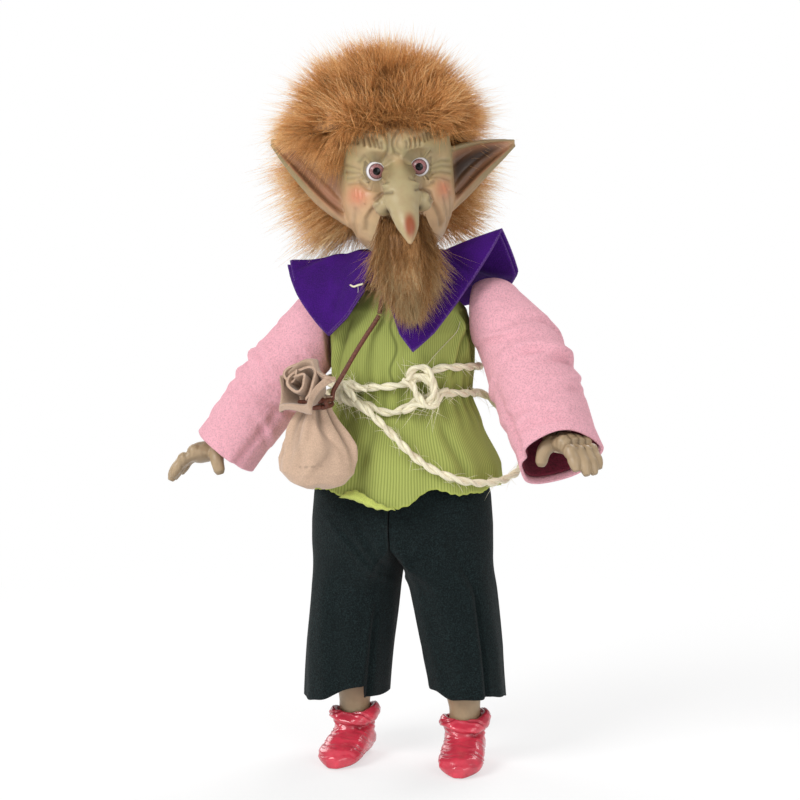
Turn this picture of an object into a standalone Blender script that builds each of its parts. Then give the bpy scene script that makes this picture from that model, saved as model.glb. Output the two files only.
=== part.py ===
"""Goblin doll: a cast head, hands and boots on a stuffed and dressed cloth body.

The doll stands on the floor (z = 0) and its chest faces -Y, so its left side is +X.
All sizes are in metres. The head, arms, hands, legs and pouch each hang from an empty
that stands on the axis they turn about.
"""

import math

import bmesh
import bpy
from mathutils import Matrix, Vector

# Clearances
GAP = 0.0003
SEAM_GAP = 0.0006
TURN_GAP = 0.0012

# Standing height of the dressed body
BOOT_TOP = 0.024
HEM_HEIGHT = 0.030
HIP_HEIGHT = 0.097
SEAT_TOP = 0.150
SEAT_LAP = 0.0045
BELT_HEIGHT = 0.171
CHEST_HEIGHT = 0.200
TORSO_TOP = 0.221
NECK_HEIGHT = 0.236
NECK_CLEARANCE = 0.0024

# Waistcoat
VEST_WALL = 0.0010
VEST_HEM_FRONT = 0.122
VEST_HEM_SIDE = 0.131
HEM_HALF_WIDTH = 0.0480
HEM_HALF_DEPTH = 0.0325
WAIST_HALF_WIDTH = 0.0320
WAIST_HALF_DEPTH = 0.0225
CHEST_HALF_WIDTH = 0.0335
CHEST_HALF_DEPTH = 0.0245
VEST_FOLDS = 9
ARMHOLE_RADIUS = 0.0118

# Neck and collar
NECK_RADIUS = 0.0110
PEG_RADIUS = 0.0040
PEG_DEPTH = 0.016
COLLAR_NECK_RADIUS = 0.0200
COLLAR_WALL = 0.0010

# Head, in its own frame: the origin is on the neck axis at NECK_HEIGHT
HEAD_TURN = 18.0
HEAD_LEAN = 4.0
HEAD_HALF_WIDTH = 0.0258
FACE_REACH = 0.0250
NAPE_REACH = 0.0300
HEAD_TALL = 0.071
EYE_HEIGHT = 0.0365
EYE_SPREAD = 0.0098
EYE_DIAMETER = 0.0100
NOSE_REACH = 0.0455
EAR_SPAN = 0.0560
EAR_TIP_RIGHT = 0.0540
EAR_TIP_LEFT = 0.0460
HAIR_HALF_WIDTH = 0.0530
HAIR_SHIFT = -0.0035
HAIR_TOP = 0.0925
HAIR_FRONT = 0.0300
HAIR_BACK = 0.0492
HAIR_TUFTS = 11
BEARD_HALF_ANGLE = 27.0
BEARD_LENGTH = 0.032

# Arms: shoulder, elbow and cuff of each, on the middle of the sleeve
RIGHT_ARM = ((-0.0393, 0.0, 0.203), (-0.0620, -0.002, 0.1725), (-0.0848, -0.004, 0.1425))
LEFT_ARM = ((0.0425, 0.0, 0.210), (0.0622, -0.008, 0.186), (0.0832, -0.0305, 0.146))
SHOULDER_RADIUS = 0.0148
RIGHT_CUFF_RADIUS = 0.0160
LEFT_CUFF_RADIUS = 0.0182
ARM_RADIUS = 0.0080
STUB_RADIUS = 0.0058
SLEEVE_WALL = 0.0012
CUFF_HOLLOW = 0.030
CUFF_SLANT = {"right": 0.001, "left": 0.009}
WRIST_STEPS = {"right": 1, "left": 2}
SLEEVE_FOLDS = 5
WRIST_RADIUS = 0.0048
HAND_LENGTH = 0.029
HAND_WIDTH = 0.0170
FINGER_RADIUS = 0.0021

# Trousers and legs
SEAT_HALF_WIDTH = 0.0428
SEAT_HALF_DEPTH = 0.0245
HIP_RADIUS = 0.0205
LEG_HEM_HALF_DEPTH = 0.0205
# height, middle and half width of each trouser leg, from the hip down
RIGHT_LEG = (
    (0.097, -0.0208, 0.0210),
    (0.084, -0.0220, 0.0210),
    (0.055, -0.0250, 0.0205),
    (0.030, -0.0269, 0.0200),
)
LEFT_LEG = (
    (0.097, 0.0224, 0.0202),
    (0.084, 0.0240, 0.0202),
    (0.055, 0.0288, 0.0186),
    (0.030, 0.0312, 0.0178),
)
TROUSER_WALL = 0.0045
TROUSER_FOLDS = 6
ANKLE_RADIUS = 0.0072
CALF_RADIUS = 0.0110

# Boots: ankle centre on the floor plan and the outward turn of the toes, in degrees
RIGHT_ANKLE = (-0.0235, 0.0015)
LEFT_ANKLE = (0.0300, 0.0005)
RIGHT_TOE_TURN = -3.0
LEFT_TOE_TURN = 8.0
BOOT_LENGTH = 0.042
BOOT_HEEL = 0.0105
BOOT_HALF_WIDTH = 0.0105
BOOT_CUFF_RADIUS = 0.0112

# Rope, thong and pouch
ROPE_DIAMETER = 0.0038
THONG_DIAMETER = 0.0021
# Height of each turn of the belt by degrees round the waist from the left side
UPPER_TURN = (
    (-180, 0.1770),
    (-135, 0.1756),
    (-117, 0.1752),
    (-80, 0.1772),
    (-66, 0.1805),
    (-52, 0.1855),
    (0, 0.1845),
    (60, 0.1820),
    (120, 0.1790),
    (180, 0.1770),
)
LOWER_TURN = (
    (-180, 0.1706),
    (-135, 0.1704),
    (-117, 0.1700),
    (-100, 0.1670),
    (-87, 0.1636),
    (-74, 0.1685),
    (-62, 0.1725),
    (-40, 0.1736),
    (0, 0.1720),
    (60, 0.1710),
    (120, 0.1708),
    (180, 0.1706),
)
KNOT_SIDE_TURN = -117
KNOT_SIDE_HEIGHT = 0.1730
KNOT_CENTRE_TURN = -65
KNOT_CENTRE_HEIGHT = 0.1765
POUCH_PIVOT = (-0.0040, -0.0250, 0.2085)
POUCH_CENTRE = (-0.0315, -0.0372, 0.1500)
POUCH_HALF_WIDTH = 0.0176
POUCH_HALF_DEPTH = 0.0105
POUCH_HALF_HEIGHT = 0.0185
POUCH_NECK_RADIUS = 0.0060
RUFFLE_RADIUS = 0.0140
RUFFLE_PLEATS = 9

# Route of the loose tail, from the side knot, sagging over the skirt and back to the belt
TAIL_ROUTE = (
    (-0.0133, -0.0287, 0.1689),
    (-0.0101, -0.0306, 0.1677),
    (-0.0062, -0.0323, 0.1652),
    (-0.0018, -0.0336, 0.1618),
    (0.0026, -0.0341, 0.1578),
    (0.0070, -0.0338, 0.1535),
    (0.0118, -0.0331, 0.1486),
    (0.0172, -0.0322, 0.1440),
    (0.0235, -0.0308, 0.1400),
    (0.0305, -0.0280, 0.1368),
    (0.0375, -0.0240, 0.1345),
    (0.0440, -0.0175, 0.1335),
    (0.0500, -0.0085, 0.1340),
    (0.0545, 0.0010, 0.1372),
    (0.0558, 0.0090, 0.1425),
    (0.0540, 0.0150, 0.1490),
    (0.0495, 0.0192, 0.1555),
    (0.0430, 0.0215, 0.1620),
    (0.0365, 0.0220, 0.1675),
    (0.0318, 0.0204, 0.1703),
    (0.0287, 0.0170, 0.1712),
)

SIDES = {"right": -1, "left": 1}


def clear_scene():
    for old in list(bpy.data.objects):
        bpy.data.objects.remove(old, do_unlink=True)


def collection(name):
    made = bpy.data.collections.new(name)
    bpy.context.scene.collection.children.link(made)
    return made


def material(name, colour, roughness, metallic=0.0):
    made = bpy.data.materials.new(name)
    made.use_nodes = True
    shader = made.node_tree.nodes["Principled BSDF"]
    shader.inputs["Base Color"].default_value = (*colour, 1.0)
    shader.inputs["Roughness"].default_value = roughness
    shader.inputs["Metallic"].default_value = metallic
    made.diffuse_color = (*colour, 1.0)
    return made


def axis_empty(name, place, parent=None, turn=None):
    """An empty on the axis that a group of pieces turns about."""
    empty = bpy.data.objects.new(name, None)
    PARTS.objects.link(empty)
    empty.empty_display_size = 0.01
    empty.matrix_world = Matrix.Translation(place) @ (turn or Matrix())
    if parent:
        keep_place(empty, parent)
    return empty


def keep_place(child, parent):
    bpy.context.view_layer.update()
    child.parent = parent
    child.matrix_parent_inverse = parent.matrix_world.inverted()


def solid(name, mesh, finish, group=None, smooth=True):
    made = bpy.data.objects.new(name, mesh)
    (group or PARTS).objects.link(made)
    if finish:
        mesh.materials.append(finish)
    if smooth:
        mesh.shade_smooth()
    if group is CUTTERS:
        made.hide_render = True
        made.display_type = "WIRE"
    return made


def mesh_from(build):
    """A mesh from a function that fills a bmesh, with its faces turned outwards."""
    bm = bmesh.new()
    build(bm)
    bmesh.ops.recalc_face_normals(bm, faces=bm.faces)
    mesh = bpy.data.meshes.new("shape")
    bm.to_mesh(mesh)
    bm.free()
    return mesh


def loft(rings, closed_path=False, caps=True):
    """Joins rings of equal count into one skin; each end is capped unless the path is closed."""

    def build(bm):
        rows = [[bm.verts.new(point) for point in ring] for ring in rings]
        count = len(rows[0])
        last = len(rows) if closed_path else len(rows) - 1
        for i in range(last):
            low = rows[i]
            high = rows[(i + 1) % len(rows)]
            for j in range(count):
                k = (j + 1) % count
                bm.faces.new((low[j], low[k], high[k], high[j]))
        if caps and not closed_path:
            for row in (rows[0], rows[-1]):
                centre = sum((v.co for v in row), Vector()) / count
                hub = bm.verts.new(centre)
                for j in range(count):
                    bm.faces.new((row[j], row[(j + 1) % count], hub))
        bmesh.ops.triangulate(bm, faces=bm.faces)

    return mesh_from(build)


def oval(centre, half_x, half_y, count, lift=None, swell=None, power=1.0):
    """Points of a level oval; lift(angle) raises a point and swell(angle) scales its radius."""
    points = []
    for i in range(count):
        angle = math.tau * i / count
        grow = swell(angle) if swell else 1.0
        cos, sin = math.cos(angle), math.sin(angle)
        x = half_x * math.copysign(abs(cos) ** power, cos) * grow
        y = half_y * math.copysign(abs(sin) ** power, sin) * grow
        rise = lift(angle) if lift else 0.0
        points.append(Vector((centre[0] + x, centre[1] + y, centre[2] + rise)))
    return points


def blend_profile(rows, height):
    """Values at a height from rows of (height, value, value...), on smooth steps."""
    if height <= rows[0][0]:
        return rows[0][1:]
    for low, high in zip(rows, rows[1:]):
        if height <= high[0]:
            t = (height - low[0]) / (high[0] - low[0])
            t = t * t * (3 - 2 * t) * 0.4 + t * 0.6
            return tuple(a + (b - a) * t for a, b in zip(low[1:], high[1:]))
    return rows[-1][1:]


def smooth_path(route, steps, closed=False):
    """Points along a Catmull-Rom curve through the route's own points."""
    points = [Vector(p) for p in route]
    count = len(points)
    made = []
    for i in range(count if closed else count - 1):
        if closed:
            a, b, c, d = (points[(i + k) % count] for k in (-1, 0, 1, 2))
        else:
            b, c = points[i], points[i + 1]
            a = points[i - 1] if i else b + (b - c)
            d = points[i + 2] if i + 2 < count else c + (c - b)
        for step in range(steps):
            t = step / steps
            made.append(
                0.5
                * (
                    2 * b
                    + (c - a) * t
                    + (2 * a - 5 * b + 4 * c - d) * t * t
                    + (3 * b - a - 3 * c + d) * t * t * t
                )
            )
    if not closed:
        made.append(points[-1])
    return made


def limb_rings(path, sizes, count, flat=1.0, across=(0.0, 1.0, 0.0), ripple=None):
    """Rings square to a path; sizes are radii, and flat scales them along across."""
    rings = []
    for i, centre in enumerate(path):
        ahead = path[min(i + 1, len(path) - 1)]
        behind = path[max(i - 1, 0)]
        along = (ahead - behind).normalized()
        side = Vector(across) - along * Vector(across).dot(along)
        side.normalize()
        other = along.cross(side)
        ring = []
        for j in range(count):
            angle = math.tau * j / count
            grow = ripple(i, angle) if ripple else 1.0
            reach = sizes[i] * grow
            ring.append(
                centre
                + other * (reach * math.cos(angle))
                + side * (reach * flat * math.sin(angle))
            )
        rings.append(ring)
    return rings


def ball(name, centre, radius, finish, group=None, segments=24, rows=16):
    def build(bm):
        bmesh.ops.create_uvsphere(
            bm,
            u_segments=segments,
            v_segments=rows,
            radius=radius,
            matrix=Matrix.Translation(centre) @ Matrix.Rotation(math.pi / 2, 4, "X"),
        )

    return solid(name, mesh_from(build), finish, group)


def rod(name, low, high, radius, finish, group=None, segments=32):
    """A cylinder between two points."""
    low, high = Vector(low), Vector(high)
    along = high - low
    turn = along.to_track_quat("Z", "Y").to_matrix().to_4x4()

    def build(bm):
        bmesh.ops.create_cone(
            bm,
            cap_ends=True,
            segments=segments,
            radius1=radius,
            radius2=radius,
            depth=along.length,
            matrix=Matrix.Translation((low + high) / 2) @ turn,
        )

    return solid(name, mesh_from(build), finish, group, smooth=False)


def block(name, low, high):
    """A box cutter between two corners."""
    low, high = Vector(low), Vector(high)
    size = high - low

    def build(bm):
        bmesh.ops.create_cube(
            bm,
            size=1.0,
            matrix=Matrix.Translation((low + high) / 2) @ Matrix.Diagonal((*size, 1.0)),
        )

    return solid(name, mesh_from(build), None, CUTTERS, smooth=False)


def boolean(target, other, operation):
    step = target.modifiers.new(operation.lower() + " " + other.name, "BOOLEAN")
    step.operation = operation
    step.solver = "EXACT"
    step.object = other


def cut(target, *cutters):
    for cutter in cutters:
        boolean(target, cutter, "DIFFERENCE")


def join(target, *others):
    for other in others:
        boolean(target, other, "UNION")


def cord(name, route, diameter, finish, closed=False):
    """A round cord as a bevelled poly curve with filled caps."""
    curve = bpy.data.curves.new(name, "CURVE")
    curve.dimensions = "3D"
    curve.bevel_depth = diameter / 2
    curve.bevel_resolution = 2
    curve.use_fill_caps = True
    spline = curve.splines.new("POLY")
    spline.points.add(len(route) - 1)
    for point, place in zip(spline.points, route):
        point.co = (*place, 1.0)
    spline.use_cyclic_u = closed
    curve.materials.append(finish)
    made = bpy.data.objects.new(name, curve)
    PARTS.objects.link(made)
    return made


# Waistcoat, torso and seat share one set of outlines


def hem_height(angle):
    """The skirt dips at the front and rises at the sides, with a pinked edge."""
    front = max(0.0, -math.sin(angle)) ** 2
    drop = (VEST_HEM_SIDE - VEST_HEM_FRONT) * front
    return VEST_HEM_SIDE - drop


def vest_size(height):
    """Half width and half depth of the waistcoat's outside at a height."""
    rows = (
        (VEST_HEM_FRONT, HEM_HALF_WIDTH, HEM_HALF_DEPTH),
        (0.140, 0.0460, 0.0305),
        (0.158, 0.0375, 0.0255),
        (BELT_HEIGHT, WAIST_HALF_WIDTH, WAIST_HALF_DEPTH),
        (0.185, 0.0334, 0.0240),
        (CHEST_HEIGHT, CHEST_HALF_WIDTH, CHEST_HALF_DEPTH),
        (0.210, 0.0300, 0.0225),
        (0.2165, 0.0240, 0.0190),
        (TORSO_TOP, 0.0155, 0.0150),
    )
    return blend_profile(rows, height)


VEST_SEGMENTS = 32
SKIRT_LEVELS = (0.0, 0.129, 0.142, 0.153)
BODICE_LEVELS = (0.162, BELT_HEIGHT, 0.182, CHEST_HEIGHT, 0.2085, 0.2145, 0.2185)


def make_vest():
    segments = VEST_SEGMENTS
    rings = []
    for i, height in enumerate(SKIRT_LEVELS + BODICE_LEVELS):
        half_width, half_depth = vest_size(height if i else VEST_HEM_FRONT)
        loose = max(0.0, (0.163 - max(height, VEST_HEM_FRONT)) / 0.041)

        def swell(angle, loose=loose):
            return 1.0 + 0.022 * loose * math.cos(VEST_FOLDS * angle + 0.6)

        def lift(angle, height=height, row=i):
            base = hem_height(angle)
            if row == 0:
                return base + 0.0011 * math.cos(18 * angle)
            return height if row > 2 else max(height, base + 0.0045 * row)

        rings.append(oval((0.0, 0.0, 0.0), half_width, half_depth, segments, lift, swell))
    vest = solid("vest", loft(rings, caps=False), VEST_GREEN)
    wall = vest.modifiers.new("wall", "SOLIDIFY")
    wall.thickness = VEST_WALL
    wall.offset = -1.0
    for side, arm in (("right", RIGHT_ARM), ("left", LEFT_ARM)):
        sign = SIDES[side]
        shoulder = Vector(arm[0])
        inner = Vector((sign * CHEST_HALF_WIDTH * 0.4, shoulder.y, shoulder.z))
        outer = Vector((sign * CHEST_HALF_WIDTH * 2.0, shoulder.y, shoulder.z))
        cut(vest, rod("armhole_" + side, inner, outer, ARMHOLE_RADIUS, None, CUTTERS, 20))
    return vest


def torso_size(height):
    """The waistcoat's size less its wall, with more room where its side slopes."""
    half_width, half_depth = vest_size(height)
    slope = 0.0010 if height < BELT_HEIGHT else max(0.0, height - 0.198) * 0.17
    shrink = VEST_WALL + GAP * 1.7 + slope
    return half_width - shrink, half_depth - shrink


def make_torso():
    """The stuffed body fills the waistcoat from the top of the seat to the neck."""
    rings = []
    for height in (SEAT_TOP + GAP, *BODICE_LEVELS[:-1], 0.2170):
        rings.append(oval((0, 0, height), *torso_size(height), VEST_SEGMENTS))
    torso = solid("torso_body", loft(rings), STUFFED_CLOTH)
    bore = rod(
        "neck_peg_bore",
        (0, 0, TORSO_TOP - PEG_DEPTH - GAP),
        (0, 0, TORSO_TOP + 0.01),
        PEG_RADIUS + GAP,
        None,
        CUTTERS,
        20,
    )
    cut(torso, bore)
    return torso


def make_neck_peg():
    """A peg in the torso with a collar, on which the head turns."""
    low = TORSO_TOP - PEG_DEPTH
    top = (0, 0, NECK_HEIGHT + 0.004)
    peg = rod("neck_peg", (0, 0, low), top, PEG_RADIUS, TURNED_WOOD, None, 20)
    disc = rod(
        "neck_peg_disc",
        (0, 0, TORSO_TOP - 0.0022),
        (0, 0, TORSO_TOP + 0.0008),
        NECK_RADIUS * 0.82,
        None,
        CUTTERS,
        20,
    )
    join(peg, disc)
    return peg


def make_seat():
    """The seat of the trousers, saddled underneath for the two legs."""
    low = HIP_HEIGHT + SEAT_LAP
    tall = SEAT_TOP - low
    rows = (
        (low, SEAT_HALF_WIDTH, SEAT_HALF_DEPTH),
        (low + tall * 21 / 97, SEAT_HALF_WIDTH, SEAT_HALF_DEPTH),
        (low + tall * 49 / 97, SEAT_HALF_WIDTH - 0.0012, SEAT_HALF_DEPTH - 0.0010),
        (low + tall * 73 / 97, SEAT_HALF_WIDTH - 0.0045, SEAT_HALF_DEPTH - 0.0025),
        (SEAT_TOP, WAIST_HALF_WIDTH + 0.0012, WAIST_HALF_DEPTH - 0.0010),
    )
    rings = [oval((0, 0, row[0]), row[1], row[2], 36, power=0.9) for row in rows]
    seat = solid("trouser_seat", loft(rings), TROUSER_FELT)
    reach = SEAT_HALF_WIDTH * 1.5
    saddle = rod(
        "saddle",
        (-reach, 0, HIP_HEIGHT),
        (reach, 0, HIP_HEIGHT),
        HIP_RADIUS + SEAM_GAP,
        None,
        CUTTERS,
        40,
    )
    cut(seat, saddle)
    return seat


# Legs and boots


def trouser_section(side, height):
    """Middle, half width and half depth of a trouser leg at a height."""
    rows = RIGHT_LEG if side == "right" else LEFT_LEG
    middle, half_width = blend_profile(tuple(reversed(rows)), height)
    t = min(1.0, max(0.0, (HIP_HEIGHT - height) / (HIP_HEIGHT - HEM_HEIGHT)))
    half_depth = HIP_RADIUS + (LEG_HEM_HALF_DEPTH - HIP_RADIUS) * t
    return Vector((middle, ankle_of(side)[1] * t, height)), half_width, half_depth


def ankle_of(side):
    return RIGHT_ANKLE if side == "right" else LEFT_ANKLE


def make_trouser_leg(side, hips):
    sign = SIDES[side]
    rings = []
    for height in (HEM_HEIGHT, 0.040, 0.052, 0.064, 0.076, 0.086, HIP_HEIGHT - 0.002):
        centre, half_width, half_depth = trouser_section(side, height)
        fold = 0.030 * (HIP_HEIGHT - height) / (HIP_HEIGHT - HEM_HEIGHT)

        def swell(angle, fold=fold, height=height):
            return 1.0 + fold * math.cos(TROUSER_FOLDS * angle + sign * 0.8 + height * 20)

        rings.append(oval(centre, half_width, half_depth, 24, None, swell, 0.92))
    top_steps = 6
    for i in range(top_steps):
        rise = HIP_RADIUS * math.sin(math.radians(80) * i / (top_steps - 1))
        centre, half_width, _ = trouser_section(side, HIP_HEIGHT)
        centre.z += rise
        half_depth = math.sqrt(HIP_RADIUS**2 - rise**2)
        rings.append(oval(centre, half_width, half_depth, 24, power=0.92))
    leg = solid("trouser_leg_" + side, loft(rings), TROUSER_FELT)
    hollow = []
    for height in (HEM_HEIGHT - 0.002, 0.055, 0.082, 0.090):
        centre, half_width, half_depth = trouser_section(side, max(height, HEM_HEIGHT))
        centre.z = height
        shrink = TROUSER_WALL + (0.0 if height < 0.085 else 0.0040)
        hollow.append(oval(centre, half_width - shrink, half_depth - shrink, 20, power=0.92))
    cut(leg, solid("leg_hollow_" + side, loft(hollow), None, CUTTERS))
    keep_place(leg, hips)
    return leg


def leg_centre(side, height):
    """Middle of the stuffed leg, upright in the boot and then leaning to the hip."""
    ankle = ankle_of(side)
    top = trouser_section(side, HIP_HEIGHT)[0]
    t = min(1.0, max(0.0, (HIP_HEIGHT - height) / (HIP_HEIGHT - BOOT_TOP)))
    return Vector((top.x + (ankle[0] - top.x) * t, ankle[1] * t, height))


def make_leg(side, hips):
    """The stuffed leg, seated in the top of the trouser leg and in the boot."""
    rows = (
        (0.0135, ANKLE_RADIUS),
        (0.026, ANKLE_RADIUS),
        (0.040, CALF_RADIUS * 0.86),
        (0.058, CALF_RADIUS),
        (0.076, CALF_RADIUS * 0.98),
        (0.086, CALF_RADIUS * 0.9),
        (0.090 - GAP, CALF_RADIUS * 0.6),
    )
    rings = [oval(leg_centre(side, row[0]), row[1], row[1], 16) for row in rows]
    leg = solid("leg_" + side, loft(rings), SKIN)
    keep_place(leg, hips)
    return leg


def make_boot(side, hips):
    """A slouched ankle boot with a flat sole, a wrinkled instep and a turned-down cuff."""
    ankle = ankle_of(side)
    toe_turn = RIGHT_TOE_TURN if side == "right" else LEFT_TOE_TURN
    toe_reach = BOOT_LENGTH - BOOT_HEEL
    rows = (
        (-BOOT_HEEL, 0.0030, 0.0085),
        (-BOOT_HEEL * 0.85, 0.0070, 0.0125),
        (-BOOT_HEEL * 0.35, 0.0093, 0.0160),
        (BOOT_LENGTH * 0.10, 0.0098, 0.0165),
        (BOOT_LENGTH * 0.26, 0.0102, 0.0140),
        (BOOT_LENGTH * 0.42, BOOT_HALF_WIDTH, 0.0112),
        (BOOT_LENGTH * 0.57, BOOT_HALF_WIDTH * 0.93, 0.0092),
        (toe_reach * 0.90, BOOT_HALF_WIDTH * 0.62, 0.0078),
        (toe_reach, BOOT_HALF_WIDTH * 0.24, 0.0052),
    )
    rings = []
    for reach, half_width, height in rows:
        ring = []
        for j in range(16):
            angle = math.tau * j / 16
            x = half_width * math.cos(angle)
            z = height * 0.5 * (1 + math.sin(angle) * 1.15)
            ring.append(Vector((x, -reach, z)))
        rings.append(ring)
    boot = solid("boot_" + side, loft(rings), BOOT_RED)
    shaft_rows = (
        (0.0060, BOOT_HALF_WIDTH * 0.78, 0.0),
        (0.0120, BOOT_HALF_WIDTH * 0.90, 0.0),
        (0.0165, BOOT_HALF_WIDTH * 0.86, -0.0002),
        (0.0185, BOOT_CUFF_RADIUS * 1.04, -0.0006),
        (0.0205, BOOT_CUFF_RADIUS * 1.10, -0.0008),
        (BOOT_TOP - 0.0008, BOOT_CUFF_RADIUS, -0.0004),
        (BOOT_TOP, BOOT_CUFF_RADIUS * 0.90, -0.0004),
    )
    shaft = []
    for height, radius, shift in shaft_rows:
        lean = 0.0018 if height > 0.017 else 0.0

        def slouch(angle, lean=lean):
            return lean * math.sin(angle * 2 + 0.7)

        shaft.append(oval((0, shift, height), radius, radius * 1.03, 16, slouch))
    join(boot, solid("boot_shaft_" + side, loft(shaft), None, CUTTERS))
    cut(boot, block("below_sole_" + side, (-0.05, -0.05, -0.02), (0.05, 0.05, 0.0)))
    hole = ANKLE_RADIUS + GAP * 2.3
    low, high = (0, 0, 0.0135 - GAP), (0, 0, 0.04)
    cut(boot, rod("boot_hole_" + side, low, high, hole, None, CUTTERS, 16))
    turn = Matrix.Rotation(math.radians(toe_turn), 4, "Z")
    place = Matrix.Translation((*ankle, 0.0)) @ turn
    for piece in (boot, *(step.object for step in boot.modifiers)):
        piece.matrix_world = place @ piece.matrix_world
    keep_place(boot, hips)
    return boot


# Arms and hands


def arm_path(arm, spacing):
    """Points down the middle of an arm, rounded at the elbow, starting at the shoulder."""
    shoulder, elbow, cuff = (Vector(p) for p in arm)
    return smooth_path((shoulder, elbow, cuff), spacing)


def sleeve_radius(t, cuff_radius):
    """Radius along the sleeve: full at the elbow, a little drawn in at the cuff."""
    swell = math.sin(math.pi * min(1.0, t * 1.15)) * 0.0018
    return SHOULDER_RADIUS + (cuff_radius - SHOULDER_RADIUS) * t + swell


def make_sleeve(side, shoulder_empty):
    sign = SIDES[side]
    arm = RIGHT_ARM if side == "right" else LEFT_ARM
    cuff_radius = RIGHT_CUFF_RADIUS if side == "right" else LEFT_CUFF_RADIUS
    path = arm_path(arm, 5)
    start = path[0]
    out = (path[1] - path[0]).normalized()
    cap_steps = 4
    cap_path, cap_sizes = [], []
    for i in range(cap_steps):
        angle = math.radians(80) * (1 - i / cap_steps)
        cap_path.append(start - out * (SHOULDER_RADIUS * math.sin(angle)))
        cap_sizes.append(SHOULDER_RADIUS * math.cos(angle))
    sizes = [sleeve_radius(i / (len(path) - 1), cuff_radius) for i in range(len(path))]
    sizes[0] = SHOULDER_RADIUS

    def ripple(i, angle):
        down = max(0, i - cap_steps) / len(path)
        return 1.0 + 0.035 * down * math.cos(SLEEVE_FOLDS * angle + i * 0.5)

    rings = limb_rings(cap_path + path, cap_sizes + sizes, 20, 0.96, ripple=ripple)
    for row, share in ((-1, 1.0), (-2, 0.45), (-3, 0.1)):
        along = (path[-1] - path[-2]).normalized()
        for point in rings[row]:
            ahead = max(0.0, path[row].y - point.y) / cuff_radius
            point -= along * (CUFF_SLANT[side] * share * ahead)
    sleeve = solid("sleeve_" + side, loft(rings), SLEEVE_FLEECE)
    side_plane = CHEST_HALF_WIDTH + GAP * 1.5
    edge = sorted((sign * side_plane, 0.0))
    low = (edge[0], -0.05, start.z - 0.05)
    high = (edge[1], 0.05, start.z + 0.05)
    cut(sleeve, block("armhole_face_" + side, low, high))
    fine = arm_path(arm, 8)
    inside = fine[:-1:2]
    core = limb_rings(inside, [size + GAP * 2 for size in arm_sizes(inside)], 12)
    cut(sleeve, solid("sleeve_core_" + side, loft(core), None, CUTTERS))
    cut(sleeve, ball("sleeve_ball_" + side, start, ARM_RADIUS, None, CUTTERS, 12, 8))
    stub_in = Vector((sign * side_plane * 0.9, start.y, start.z))
    stub_out = start + Vector((sign * 0.001, 0, 0))
    cut(sleeve, rod("sleeve_stub_" + side, stub_in, stub_out, STUB_RADIUS + GAP, None, CUTTERS, 24))
    hollow_path, run = [], 0.0
    for a, b in zip(reversed(fine[:-1]), reversed(fine[1:])):
        hollow_path.append(b)
        run += (b - a).length
        if run > CUFF_HOLLOW:
            break
    out_end = (fine[-1] - fine[-2]).normalized()
    hollow_path = [fine[-1] + out_end * 0.004] + hollow_path[::2]
    wall = SLEEVE_WALL + cuff_radius * 0.04
    hollow_sizes = []
    for i in range(len(hollow_path)):
        deep = i / (len(hollow_path) - 1)
        fade = 1.0 - 0.42 * deep * deep
        hollow_sizes.append((cuff_radius * 0.955 - wall) * fade)
    hollow = limb_rings(hollow_path, hollow_sizes, 16, 0.96)
    cut(sleeve, solid("cuff_hollow_" + side, loft(hollow), None, CUTTERS))
    keep_place(sleeve, shoulder_empty)
    return fine


def arm_sizes(path):
    """Radius of the stuffed arm at each point: full at the elbow, thin at the wrist."""
    sizes = []
    for i in range(len(path)):
        t = i / (len(path) - 1)
        sizes.append(ARM_RADIUS * (0.82 + 0.18 * min(1.0, t * 3) - 0.24 * max(0.0, t - 0.5) * 2))
    return sizes


def make_arm(side, fine, shoulder_empty):
    """The stuffed arm: a stub sewn to the torso's side, then down the sleeve to the wrist."""
    sign = SIDES[side]
    steps = round(WRIST_STEPS[side])
    path = fine[: -steps - 1 : 2] + [fine[-1 - steps]]
    sizes = arm_sizes(path)
    start = fine[0]
    out = (fine[1] - start).normalized()
    for angle in (40, 75):
        path.insert(0, start - out * (ARM_RADIUS * 0.82 * math.sin(math.radians(angle))))
        sizes.insert(0, ARM_RADIUS * 0.82 * math.cos(math.radians(angle)))
    arm = solid("arm_" + side, loft(limb_rings(path, sizes, 12)), STUFFED_CLOTH)
    torso_side = torso_size(start.z - STUB_RADIUS)[0] + GAP * 1.5
    low = Vector((sign * torso_side, start.y, start.z))
    high = start + Vector((sign * 0.001, 0, 0))
    join(arm, rod("arm_stub_" + side, low, high, STUB_RADIUS, None, CUTTERS, 24))
    keep_place(arm, shoulder_empty)


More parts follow.
